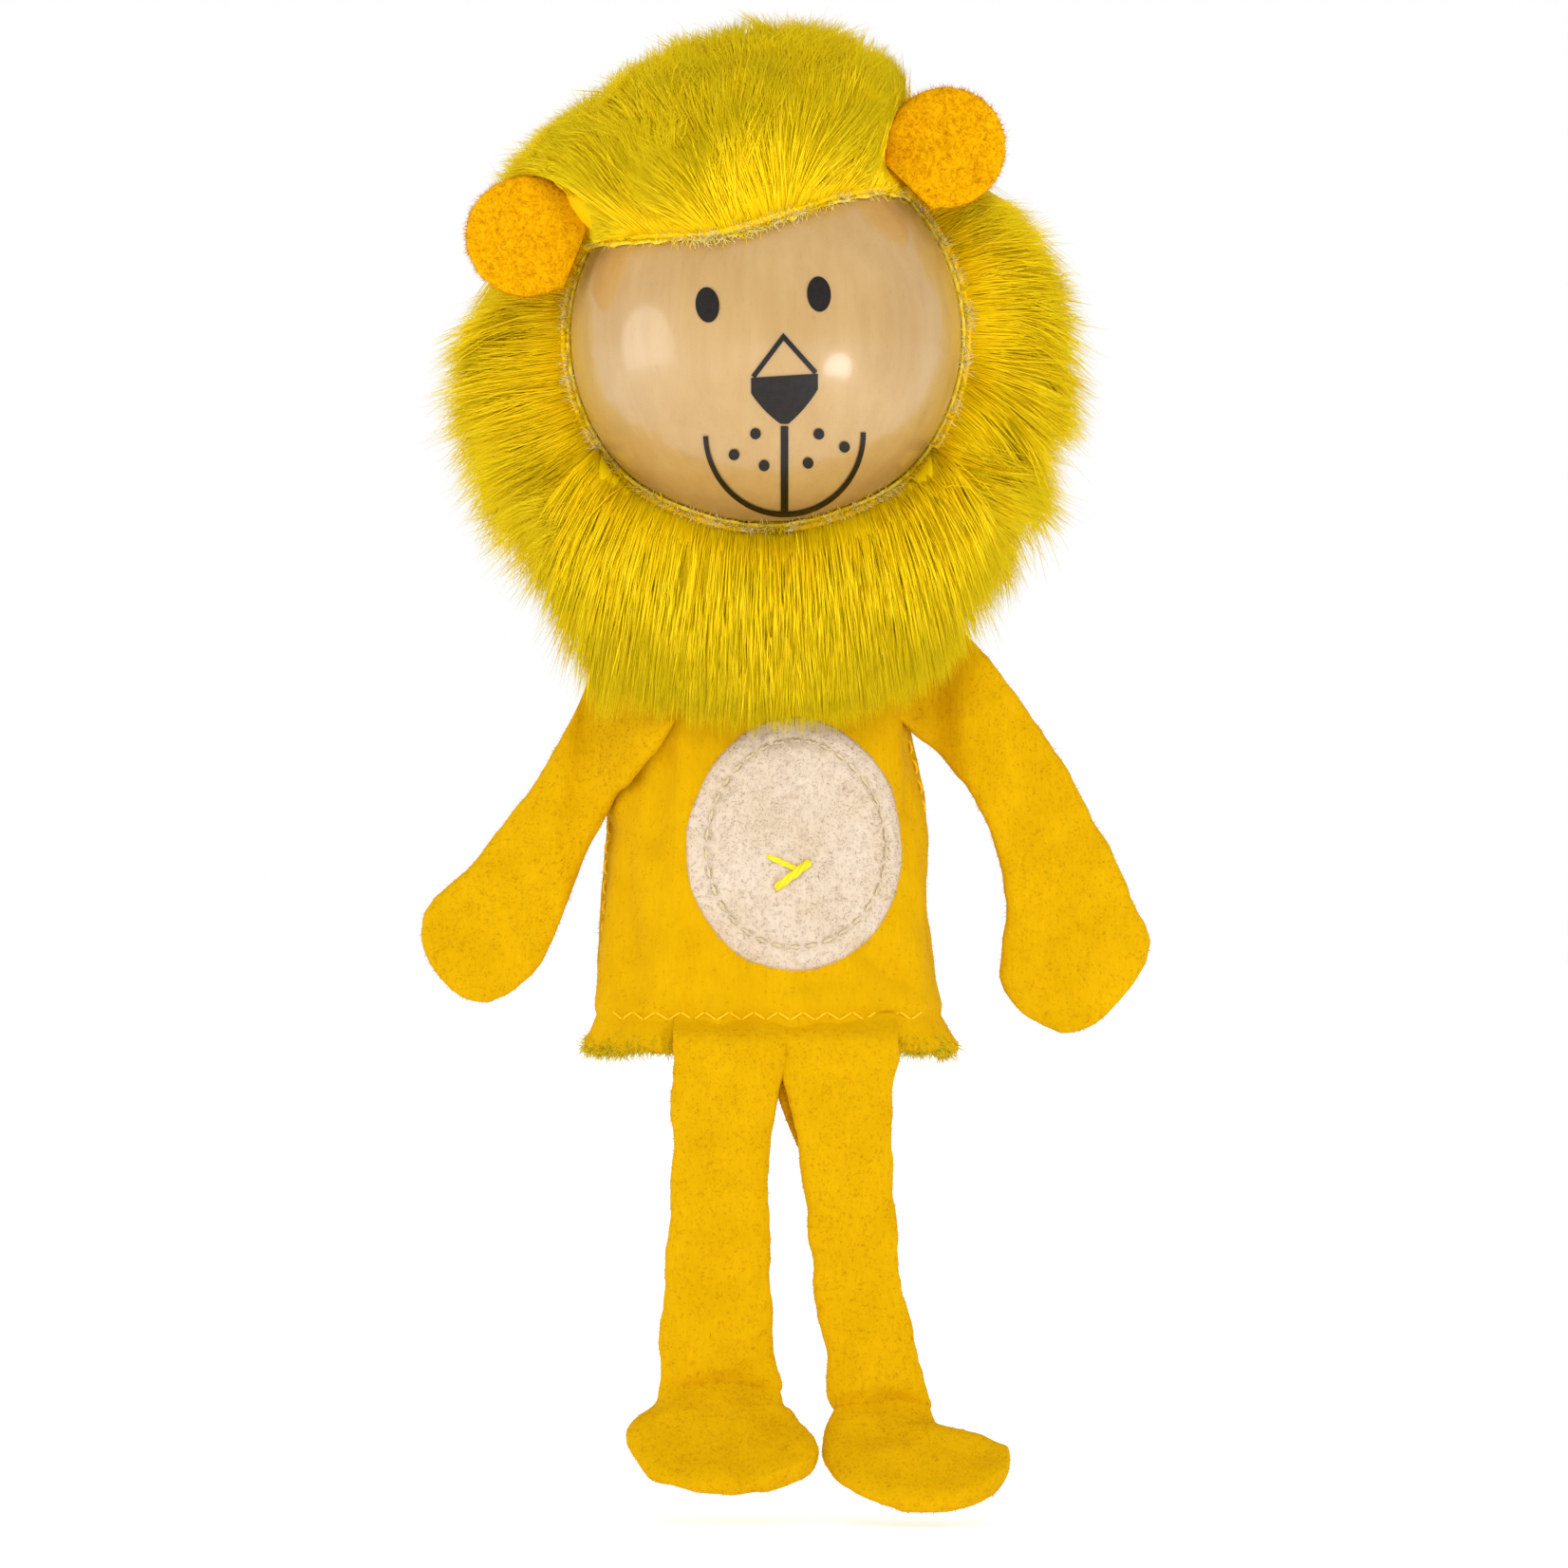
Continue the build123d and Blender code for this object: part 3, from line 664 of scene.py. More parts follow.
def clear_of_torso(points):
    """Moves points that would lie inside the finger tube's shoulders out to its surface."""
    inside = ((np.abs(points[:, :2]) / SHOULDER_HALF) ** SHOULDER_POWER).sum(-1)
    out = np.maximum(inside, 0.05) ** (-1 / SHOULDER_POWER)
    push = np.where((inside < 1) & (points[:, 2] < SHOULDER_Z), out, 1)
    moved = points.copy()
    moved[:, :2] *= push[:, None]
    return moved


# Hairs, from and to round the face, from and to towards the back, pull outwards and downwards, radius.
FUR_FIELDS = {
    "mane_fringe": (12000, (0.35, 2.95), (0.3, 1.3), 1.3, 0.0, 0.1),
    "mane_top": (11000, (0.35, 2.95), (1.2, 1.85), 0.8, 0.1, 0.11),
    "mane_left": (11000, (-1.5, 0.95), (1.5, 2.15), 1.0, 0.55, 0.11),
    "mane_right": (11000, (2.2, 4.65), (1.5, 2.15), 1.0, 0.55, 0.11),
    "mane_nape_left": (10000, (-1.57, 1.57), (1.95, 3.14), 0.4, 1.1, 0.13),
    "mane_nape_right": (10000, (1.57, 4.71), (1.95, 3.14), 0.4, 1.1, 0.13),
}
# Hairs, and from and to round the face, of the shorter fur along the backing's edge.
FUR_EDGES = {
    "mane_edge_left": (10000, (-1.5, 1.2)),
    "mane_edge_right": (10000, (1.9, 4.6)),
    "mane_edge_top": (9000, (0.5, 2.8)),
    "mane_edge_chin": (7000, (3.6, 5.8)),
}


EDGE_DEPTH = 0.08  # how far back from the backing's edge that fur grows
EDGE_HEIGHT, FRAY_HEIGHT = 0.3, 0.5  # above the ball
EDGE_HALF, EDGE_THICK = 0.24, 0.2
FRAY_HAIRS, FRAY_LENGTHS = 6400, (0.5, 1.6)


def make_mane():
    """All the fur of the hood, from its dense lower pile out to its longest hair."""
    make_underfur()
    for name, (count, span, depth, radial, fall, radius) in FUR_FIELDS.items():
        phi, alpha = scatter(count, span, depth)
        comb(name, phi, alpha, radial, fall * (0.75 - 0.5 * np.sin(phi)), radius)
    for name, (count, span) in FUR_EDGES.items():
        phi = rng.uniform(*span, count * 2)
        alpha = face_edge(phi) + np.abs(rng.normal(size=len(phi))) * EDGE_DEPTH + 0.012
        phi, alpha = keep_roots(phi, alpha, np.ones(len(phi), bool), count)
        comb(name, phi, alpha, 1.2, 0.25 - 0.25 * np.sin(phi), 0.1, lengths=(0.25, 1.0), lift=0.35)
    make_backing_edge()


def make_backing_edge():
    """The cut edge of the fur's woven backing, with its frayed pale fibres."""
    phi, _, _ = circle(360)
    path = spot(phi, face_edge(phi), BALL_R + EDGE_HEIGHT)
    along = unit(np.roll(path, -1, 0) - np.roll(path, 1, 0))
    out = unit(path - BALL)
    across = np.cross(along, out)
    path += across * (lumps(path, 1.6, 8) * 0.16)[:, None]
    wide = EDGE_HALF * (1 + 0.5 * lumps(path, 1.1, 9))
    _, cos, sin = circle(8)
    rim = across[:, None] * cos[:, None] * wide[:, None, None] + out[:, None] * sin[:, None] * EDGE_THICK
    edge = looped(path[:, None] + rim, FUR_MID * 0.85 + CREAM * 0.1)
    phi = rng.uniform(0, TAU, FRAY_HAIRS)
    away = rng.normal(size=FRAY_HAIRS) * 0.014 + 0.008
    root = spot(phi, face_edge(phi) + away, BALL_R + FRAY_HEIGHT)
    out = unit(root - BALL)
    to_face = unit(BALL + FORWARD * BALL_R - root)
    wander = rng.normal(size=root.shape) * 0.5
    way = unit(out * 0.5 + to_face * rng.uniform(-0.6, 0.9, (FRAY_HAIRS, 1)) + wander)
    length = rng.uniform(*FRAY_LENGTHS, (FRAY_HAIRS, 1))
    patchy = 0.45 + 0.4 * lumps(root, 3.0, 10)[:, None]
    tone = (rng.random((FRAY_HAIRS, 1)) < patchy) * rng.uniform(0.5, 1, (FRAY_HAIRS, 1))
    shade = CREAM * tone + FUR_MID * (1 - tone)
    curl = rng.normal(size=root.shape) * 0.2
    fray = hairs(root, root + way * length * 0.6 + curl, root + way * length, 0.05, shade, shade, rings=2)
    build("mane_backing_edge", join(edge, fray), fur_finish, "head", ["mane_backing"])


# ---- beard ----
BEARD_SPREAD = math.radians(56.0)
BIB = np.array([14.6, box_mm("beard_pile")[1][1] + 1.6, 37.5])  # half width, front and foot of the backing
BEARD_HEM = np.array([
    (-19.5, 28.6), (-14, 29.6), (-9, 29.4), (-6, 28.6), (0, 28.4), (5, 29), (9, 28.8), (14, 30.8), (17, 32.8),
    (20, 35.5), (22, 38),
])  # fmt: skip
BEARD_HAIRS = 11500  # in each layer
BY_CHIN = 0.3  # the share of them that starts in the top rows of the backing
BEARD_LENGTHS, BEARD_RADII = (9, 17), (0.06, 0.13)
BEARD_LAYERS = {"beard_under": ((0.0, 2.0), 0.85), "beard_hair": ((1.0, 4.4), 1.0)}  # how proud, how long


def bib_point(u, v, lift=0.0):
    """The backing of the beard: v runs from the ball's lower edge down over the chest."""
    phi = 1.5 * math.pi + u * BEARD_SPREAD
    top = spot(phi, face_edge(phi) + 0.07, BALL_R + 0.3)
    foot = np.stack([BIB[0] * u, BIB[1] + 3.0 * u**2, BIB[2] + 2.5 * u**2], -1)
    bend = np.stack([top[..., 0] * 1.06, (top[..., 1] + foot[..., 1]) / 2 - 3.4, top[..., 2] - 2.6], -1)
    v = np.asarray(v)[..., None]
    point = (1 - v) ** 2 * top + 2 * v * (1 - v) * bend + v**2 * foot
    return point + np.array([0, -1, 0]) * np.asarray(lift)[..., None]


def make_beard():
    """Long straight hair from under the chin, over the chest, and the backing that it grows on."""
    across, down = 60, 26
    u, v = np.meshgrid(np.linspace(-1, 1, across), np.linspace(0, 1, down))
    front = bib_point(u, v, (0.35 + 0.25 * lumps(bib_point(u, v), 5.0, 66)) * smoothstep(0.05, 0.3, v))
    back = bib_point(u, v, np.full(u.shape, -0.45))
    rings = np.concatenate([front, back[:, ::-1]], 1)
    ends = (front + back)[[0, -1], across // 2] / 2
    outside = np.arange(2 * across * down + 2)[:, None] % (2 * across) < across
    bib = capped(rings, ends, np.where(outside, FUR_MID, CREAM))
    hang(build("beard_cloth", bib, fur_finish, nodes=["beard_backing"]))
    for name, (proud, long) in BEARD_LAYERS.items():
        u = rng.normal(size=BEARD_HAIRS) * 0.1 + rng.uniform(-1, 1, BEARD_HAIRS)
        u = np.clip(u, -1.02, 1.02)
        by_chin = rng.random(BEARD_HAIRS) < BY_CHIN
        v = np.where(by_chin, rng.uniform(0, 0.08, BEARD_HAIRS), rng.uniform(0, 1, BEARD_HAIRS))
        root = bib_point(u, v)
        fan_out = 1.1 + (0.12 + 0.2 * u**2) * (1 - v)
        x = root[:, 0] * fan_out + rng.normal(size=BEARD_HAIRS) * 0.6
        lowest = np.interp(x, *BEARD_HEM.T) + rng.exponential(2.2, BEARD_HAIRS) + 0.8 * lumps(root, 3.0, 67)
        z = np.maximum(root[:, 2] - rng.uniform(*BEARD_LENGTHS, BEARD_HAIRS) * long, lowest)
        lift = rng.uniform(*proud, BEARD_HAIRS) * (1 - 0.3 * u**2) * (smoothstep(29.0, 40.0, z) * 0.75 + 0.25)
        y = bib_point(u, np.minimum(v + 0.5, 1.0))[:, 1] - lift
        tip = locks(root, np.stack([x, y, z], -1), BEARD_HAIRS // 30, 0.7)
        bend_y = np.minimum(root[:, 1], y) - 1.2 - 3.0 * (1 - v) ** 2
        bend = np.stack([(root[:, 0] + x) / 2, bend_y, root[:, 2] * 0.65 + z * 0.35], -1)
        foot_tint, tip_tint = fur_tints(root)
        thick = rng.uniform(*BEARD_RADII, BEARD_HAIRS)
        piece = build(name, hairs(root, bend, tip, thick, foot_tint, tip_tint), fur_finish)
        hang(piece)
    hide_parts("beard_pile")


def hang(piece):
    """Fixes a piece's place into its mesh; it rides on no body."""
    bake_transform(piece)


# ---- flat sewn shapes ----
def face_outline(node, facing):
    """The corners, in order, of the flat side of a CAD layer that faces a direction."""
    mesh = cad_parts[node].data
    co = np.array([v.co for v in mesh.vertices]) / MM
    _, merged = np.unique(np.round(co, 3), axis=0, return_inverse=True)
    merged = merged.ravel()
    spots = {m: co[i] for i, m in enumerate(merged)}
    links = {}
    used = {}
    for face in mesh.polygons:
        if np.dot(face.normal, facing) < 0.98:
            continue
        ring = [merged[v] for v in face.vertices]
        for a, b in zip(ring, ring[1:] + ring[:1]):
            used[frozenset((a, b))] = used.get(frozenset((a, b)), 0) + 1
            links[(a, b)] = True
    onward = {a: b for (a, b) in links if used[frozenset((a, b))] == 1}
    start = next(iter(onward))
    loop = [start]
    while onward[loop[-1]] != start:
        loop.append(onward[loop[-1]])
    return np.array([spots[m] for m in loop])


def resample(chain, count, ease=False):
    """Points evenly spaced along a chain, or closer together towards its end."""
    chain = np.asarray(chain)
    run = distance_along(chain)
    t = np.linspace(0, 1, count)
    if ease:
        t = 1 - (1 - t) ** 1.7
    return np.stack([np.interp(t * run[-1], run, chain[:, k]) for k in range(3)], -1)


def two_edges(loop, root, count):
    """Splits an outline into its two edges, from the two corners of its sewn root to the far tip."""
    middle = loop[root].mean(0)
    a, b = sorted(root)
    loop = np.roll(loop, -a, 0)
    b -= a
    if b == 1:
        loop = np.roll(loop[::-1], 1, 0)
        b = len(loop) - 1
    far = np.argmax(np.linalg.norm(loop - middle, axis=1))
    return [resample(edge, count, ease=True) for edge in (loop[: far + 1], loop[far : b + 1][::-1])]


def smooth_all(chain, rounds):
    """Softens every corner of a chain but keeps its two ends."""
    for _ in range(rounds):
        chain[1:-1] = (chain[:-2] + 2 * chain[1:-1] + chain[2:]) / 4
    return chain


def pillow(first, second, front, half_thick, around=56, flat=0.7, end_round=2.2):
    """A closed flat tube between two edges, the shape of two sewn layers, and where its points face."""
    front = np.broadcast_to(front, first.shape)
    centre, reach = (first + second) / 2, (first - second) / 2
    width = np.linalg.norm(reach, axis=1)
    thick = half_thick * np.clip(width / end_round, 0.02, 1) ** 0.6
    _, cos, sin = circle(around)
    c = (np.sign(cos) * np.abs(cos) ** 0.85)[:, None]
    s = (np.sign(sin) * np.abs(sin) ** flat)[:, None]
    rings = centre[:, None] + reach[:, None] * c + (front * thick[:, None])[:, None] * s
    out = unit(unit(reach)[:, None] * c + unit(front)[:, None] * s)
    return capped(rings, centre[[0, -1]]), np.concatenate([out.reshape(-1, 3), np.zeros((2, 3))])


def uneven(mesh, out, *waves):
    """Moves a mesh's points in and out by waves, each a bump size, a seed and a height in mm."""
    points = mesh[0]
    points += out * sum(height * lumps(points, size, seed) for size, seed, height in waves)[:, None]
    return mesh


# ---- ears ----
def make_ears():
    """Thick felt discs, glued by their lower corner and curled a little to the front."""
    for side in EARS:
        loop = face_outline(f"{side}_ear", FORWARD)
        low, high = box_mm(f"{side}_ear")
        near = np.linalg.norm(loop[:, [0, 2]] - BALL[[0, 2]], axis=1)
        first, second = two_edges(loop, np.argsort(near)[:2], 60)
        first[:, 1] = second[:, 1] = (low[1] + high[1]) / 2
        felt, out = pillow(first, second, FORWARD, (high[1] - low[1]) / 2, 48, 0.45, 1.6)
        points = felt[0]
        root = (first[0] + second[0]) / 2
        reach = np.linalg.norm((points - root)[:, [0, 2]], axis=1)
        points[:, 1] += 0.5 - 0.012 * reach**2 + lumps(points, 4.0, 21) * 0.12
        felt = fuzz(uneven(felt, out, (1.3, 22, 0.05)), 5600, 0.5, 0.026, spread=0.9)
        build(f"{side}_felt_ear", felt, felt_finish, f"{side}_ear", [f"{side}_ear"])


# ---- arms ----
# Where the upper and lower edge of each arm's root lie on the tube's front, from its side inwards,
# and how far the root stands off the tube at those places.
ARM_WRAPS = {
    "right": (
        [(-15.0, 34.6), (-14.0, 37.4), (-12.6, 40.2), (-11.0, 42.5)],
        [(-14.7, 21.6), (-12.2, 24.6), (-9.0, 28.8), (-6.4, 33.5)],
        [1.5, 1.6, 1.3, 0.9],
    ),
    "left": (
        [(14.0, 42.0), (13.0, 42.8), (11.6, 43.4), (10.0, 44.0)],
        [(15.3, 28.0), (14.2, 28.9), (12.6, 30.2), (10.6, 31.8)],
        [1.3, 0.9, 0.1, -1.4],
    ),
}
WRAP_POINTS, ARM_POINTS = 46, 150
ARM_BEND = slice(WRAP_POINTS + 70)  # the part of an edge that the fold at the side seam rounds


def make_arms():
    """Each arm's two layers, with the root that is folded from the side seam over the tube's front."""
    for side, sign in (("left", 1), ("right", -1)):
        loop = face_outline(f"{side}_arm_front", FORWARD)
        low, high = box_mm(f"{side}_arm_front")[0][1], box_mm(f"{side}_arm_back")[1][1]
        edges = two_edges(loop, np.argsort(np.abs(loop[:, 0]))[:2], ARM_POINTS)
        edges.sort(key=lambda edge: -edge[0, 2])
        *wraps, lifts = ARM_WRAPS[side]
        chains, facing = [], np.tile(2 * FORWARD, (WRAP_POINTS + ARM_POINTS, 1))
        facing[:WRAP_POINTS] = 0
        for edge, wrap in zip(edges, wraps):
            edge = edge[np.abs(edge[:, 0]) > np.abs(edge[0, 0]) + 2.2]
            edge = resample(edge, ARM_POINTS, ease=True)
            edge[:, 1] = (low + high) / 2 - 2.6 * np.exp(-np.abs(edge[:, 0] - edge[0, 0]) / 7.0)
            wrap = on_front(*np.transpose(wrap), np.array(lifts))
            chain = np.concatenate([resample(wrap[::-1], WRAP_POINTS), edge])
            smooth_all(chain[ARM_BEND], 60)
            chains.append(smooth_all(chain, 5))
            facing[:WRAP_POINTS] += front_normal(chain[:WRAP_POINTS, 0], chain[:WRAP_POINTS, 2])
        arm, out = pillow(*chains, unit(smooth_all(facing, 80)), (high - low) / 2 + 0.15)
        uneven(arm, out, (5.5, 31 + sign, 0.16), (2.0, 33 + sign, 0.05))
        nodes = [f"{side}_arm_{part}" for part in ("front", "back", "tab")]
        piece = build(f"{side}_arm_cloth", brushed(arm, 6200), cloth_finish, nodes=nodes)
        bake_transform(piece)


# ---- legs and feet ----
LEG_TOP = 3.1  # the height at which a leg's top ends, on the front of the tube
LEG_SINK = 2.2  # how far the top goes back there, under the tube's surface
LEG_INWARD = 0.35  # how much nearer the other leg the inner edge is below the crotch
LEG_WANDER = 7.0  # one edge of a leg keeps within this width
ANKLE_LAP = 2.4  # how far the foot reaches up behind the leg
ANKLE_ARCH = 1.0  # how much higher the crease is at the middle of the ankle


def make_legs():
    """Each leg is sewn over the front of the hem, under the zigzag row; its foot is creased forward."""
    for side, sign in (("left", 1), ("right", -1)):
        low = box_mm(f"{side}_leg_front")[0]
        back = box_mm(f"{side}_leg_back")[1][1]
        middle, half = (low[1] + back) / 2, (back - low[1]) / 2 + 0.2
        loop = face_outline(f"{side}_leg_front", FORWARD)
        top = sorted(np.argsort(-loop[:, 2])[:2], key=lambda k: loop[k, 0] * sign)
        foot = sorted(np.argsort(loop[:, 2])[:2], key=lambda k: loop[k, 0] * sign)
        foot_x = loop[foot, 0]
        inner = leg_edge(between(loop, top[0], foot[0]), middle, foot_x[1] - foot_x[0], sign * LEG_INWARD)
        outer = leg_edge(between(loop, top[1], foot[1]), middle, foot_x[0] - foot_x[1], 0)
        height = (inner[:, 2] + outer[:, 2]) / 2
        thick = 1 - 0.8 * smoothstep(-0.4, LEG_TOP - 0.4, height)
        thick *= 1 - 0.5 * smoothstep(low[2] + 1.2, low[2] - 0.6, height)
        leg, out = pillow(inner, outer, FORWARD, half * thick)
        ankle_x = np.array([inner[-1, 0], outer[-1, 0]])
        points = leg[0]
        across = np.clip(np.abs(points[:, 0] - ankle_x.mean()) / (np.ptp(ankle_x) / 2), 0, 1)
        points[:, 2] += ANKLE_ARCH * (1 - across**2) * smoothstep(low[2] + 5, low[2], points[:, 2])
        uneven(leg, out, (6.0, 41 + sign, 0.18), (2.0, 43, 0.05))
        cloth = brushed(leg, 4600, keep=lambda spots: spots[:, 2] < 1.6)
        nodes = [f"{side}_leg_{part}" for part in ("front", "back", "tab")]
        piece = build(f"{side}_leg_cloth", cloth, cloth_finish, nodes=nodes)
        blend_down(piece)
        make_foot(side, sign, half, foot_x)
    make_seam_allowance()


def leg_edge(edge, middle, towards_other, inward):
    """One edge of a leg, led up under the zigzag row and tucked in at the ankle."""
    edge[:, 1] = middle
    edge = smooth_all(resample(edge, 110), 10)
    edge[:, 0] -= inward * smoothstep(-4.5, -1.5, edge[:, 2])
    rise = np.linspace(1, 0, 16, endpoint=False)[:, None]
    lead = edge[0] + rise * (LEG_TOP - edge[0, 2]) * np.array([0, 0, 1])
    lead[:, 1] = middle + LEG_SINK * smoothstep(0.8, LEG_TOP, lead[:, 2])
    tail = edge[-1] + np.linspace(0, 1, 8)[1:, None] * np.array([towards_other * 0.09, 0.3, -0.9])
    return smooth_all(np.concatenate([lead, edge, tail]), 4)


def between(loop, start, end):
    """The part of a closed outline that runs down one side, from one corner to another."""
    size = len(loop)
    forward = [(start + k) % size for k in range((end - start) % size + 1)]
    backward = [(start - k) % size for k in range((start - end) % size + 1)]
    return loop[forward if np.ptp(loop[forward][:, 0]) < LEG_WANDER else backward].copy()


def blend_down(piece):
    """Fixes a piece's place into its mesh; it is not bent and rides on no body."""
    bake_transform(piece)


def make_seam_allowance():
    """The left leg's inner seam allowance, which stands behind the gap between the thighs, in darker cloth as
    painted shade for that gap.
    """
    high = box_mm("left_leg_back")[1]
    z = np.linspace(high[2] + 0.2, high[2] - 8.4, 40)
    share = np.linspace(0, 1, 40)
    depth = np.full(40, high[1] - 0.2)
    inner = np.stack([0.4 + 2.9 * share**1.4, depth, z], -1)
    outer = np.stack([np.full(40, 4.4), depth, z], -1)
    cloth = fuzz(pillow(inner, outer, FORWARD, 0.42, 28)[0], 500, 0.4, 0.03)
    build("left_leg_shaded_allowance", cloth, shaded_seam_finish, "left_leg")


def make_foot(side, sign, half, leg_x):
    """The foot's two layers, from the crease at the ankle to the toes."""
    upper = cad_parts[f"{side}_foot_upper"].data
    slope = np.array(max(upper.polygons, key=lambda face: face.area * (face.normal[1] < 0)).normal)
    sole = face_outline(f"{side}_foot_upper", slope)
    edges = two_edges(sole, np.argsort(np.abs(sole[:, 2] - sole[:, 2].max()))[:2], 70)
    first, second = [edge - slope * half * 0.9 for edge in edges]
    if (first[0, 0] - second[0, 0]) * (leg_x[0] - leg_x[1]) < 0:
        first, second = second, first
    near = 1 - smoothstep(0, 16, np.arange(len(first)))
    for edge, own_x, other_x in ((first, *leg_x), (second, *leg_x[::-1])):
        edge[:, 0] += (own_x + 0.02 * (own_x - other_x) - edge[0, 0]) * near
    rise = np.linspace(1, 0, 8, endpoint=False)[:, None]
    lead = rise * np.array([0, 1.3, ANKLE_LAP])
    pull = (second[0] - first[0]) * 0.07 * rise
    first = smooth_all(np.concatenate([first[0] + lead + pull, first]), 4)
    second = smooth_all(np.concatenate([second[0] + lead - pull, second]), 4)
    tilt = smoothstep(2, 16, np.arange(len(first)))[:, None]
    height = (first[:, 2] + second[:, 2]) / 2
    top = height.max()
    thick = 0.4 + 0.6 * smoothstep(top, top - ANKLE_LAP, height)
    thick += 0.12 * smoothstep(top - 8, top - 12, height)
    foot, out = pillow(first, second, unit(FORWARD * (1 - tilt) + slope * tilt), half * thick)
    uneven(foot, out, (5.0, 45 + sign, 0.18), (2.0, 43, 0.06))
    nodes = [f"{side}_foot_upper", f"{side}_foot_sole"]
    piece = build(f"{side}_foot_cloth", brushed(foot, 2600), cloth_finish, nodes=nodes)
    blend_down(piece)


# ---- finger tube ----
HEM_HALF, _, TUBE_TOP = box_mm("front_panel")[1]
DEPTH_HALF = box_mm("back_panel")[1][1]
# The tube's section at some heights: half width, half depth and how square its corners are.
LEVELS = np.array([-2.0, 0.0, 0.44, 0.91, 0.96, 1.0, 1.1]) * TUBE_TOP
WIDE = np.array([1.0, 1.0, 0.892, 0.789, 0.70, 0.54, 0.5]) * HEM_HALF
DEEP = np.array([0.957, 0.957, 0.989, 1.0, 0.96, 0.83, 0.8]) * DEPTH_HALF
POWER = np.array([2.9, 2.9, 2.7, 2.4, 2.25, 2.1, 2.1])
WALL = 1.0
HEM_ROW = 2.75  # the height of the zigzag row
ROW_DENT, SEAM_DENT = 0.3, 0.4  # how far the stitches pull the cloth in
HEM_CURL = 0.38
FOLD_SCALE = 1.5
LEGS_MIDDLE, LEGS_HALF = 1.8, 10.6  # where the legs hold the hem flat
HEM_FIBRES, HEM_LENGTHS = 6400, (0.4, 1.25)
# Folds in the tube's front: from, to, half width, height outwards.
FOLDS = [
    ((-14.5, 20.0), (-12.6, 4.5), 1.5, -0.55),
    ((-12.0, 25.0), (-13.5, 9.0), 1.6, -0.35),
    ((-9.5, 27.0), (-11.0, 19.0), 1.2, -0.4),
    ((-11.2, 5.6), (-3.0, 5.2), 1.1, -0.25),
    ((8.5, 9.5), (12.4, 6.3), 1.2, -0.5),
    ((3.0, 6.2), (9.0, 6.0), 1.0, -0.25),
    ((13.2, 26.0), (12.8, 10.0), 1.0, 0.25),
    ((15.0, 30.0), (13.6, 22.0), 0.9, -0.35),
]


def tube_section(z):
    wide = np.interp(z, LEVELS, WIDE) + 0.1 * smoothstep(3.5, -1.0, z)
    return wide, np.interp(z, LEVELS, DEEP), np.interp(z, LEVELS, POWER)


def tube_relief(points):
    """Folds and puckers of the finger tube, in mm outwards."""
    x, z = points[..., 0], points[..., 2]
    forward = points[..., 1] < 0
    relief = lumps(points * np.array([1.6, 1.0, 0.55]), 9.0, 51) * 0.36
    relief += lumps(points, 3.2, 52) * 0.07
    relief -= ROW_DENT * np.exp(-(((z - HEM_ROW) / 0.5) ** 2))
    beside = np.where(forward, smoothstep(LEGS_HALF - 0.6, LEGS_HALF + 1.6, np.abs(x - LEGS_MIDDLE)), 0.45)
    curl = 0.15 + HEM_CURL * beside * (1 + 0.5 * lumps(points, 3.4, 53))
    relief += curl * smoothstep(2.2, -0.4, z) - 0.5 * beside * smoothstep(-0.2, -1.3, z)
    for (x0, z0), (x1, z1), width, height in FOLDS:
        run_x, run_z = x1 - x0, z1 - z0
        share = np.clip(((x - x0) * run_x + (z - z0) * run_z) / (run_x**2 + run_z**2), 0, 1)
        away = np.hypot(x - x0 - share * run_x, z - z0 - share * run_z)
        relief += FOLD_SCALE * forward * height * np.exp(-((away / width) ** 2))
    relief -= SEAM_DENT * np.exp(-((points[..., 1] / 0.45) ** 2)) * (np.abs(x) > 8)
    return relief


def tube_point(turn, z, inset=0.0):
    """A point on the finger tube at an angle and height, with its outward direction."""
    wide, deep, power = tube_section(z)
    wide, deep = wide - inset, deep - inset
    c, s = np.cos(turn), np.sin(turn)
    x = wide * np.sign(c) * np.abs(c) ** (2 / power)
    y = deep * np.sign(s) * np.abs(s) ** (2 / power)
    out = tube_normal(x, y, wide, deep, power)
    return np.stack([x, y, z * np.ones_like(x)], -1), out


def tube_normal(x, y, wide, deep, power):
    """Which way the tube's section faces at a point on it."""
    nx = np.sign(x) * np.abs(x / wide) ** (power - 1) / wide
    ny = np.sign(y) * np.abs(y / deep) ** (power - 1) / deep
    return unit(np.stack([nx, ny, np.zeros_like(nx)], -1))


def front_normal(x, z):
    """Which way the tube's front faces at a place, leaving out its folds."""
    wide, deep, power = tube_section(z)
    share = np.clip(np.abs(x / wide), 0, 0.98)
    y = -deep * (1 - share**power) ** (1 / power)
    return tube_normal(share * wide * np.sign(x), y, wide, deep, power)


def on_front(x, z, lift, way=-1):
    """A point on the tube's front, or its back, raised off the cloth by lift mm."""
    x, z = np.asarray(x, float), np.asarray(z, float)
    wide, deep, power = tube_section(z)
    y = way * deep * (1 - np.clip(np.abs(x / wide), 0, 0.999) ** power) ** (1 / power)
    base = np.stack([x, y, z * np.ones_like(x)], -1)
    out = tube_normal(x, y, wide, deep, power)
    return base + out * (tube_relief(base) + lift)[..., None]


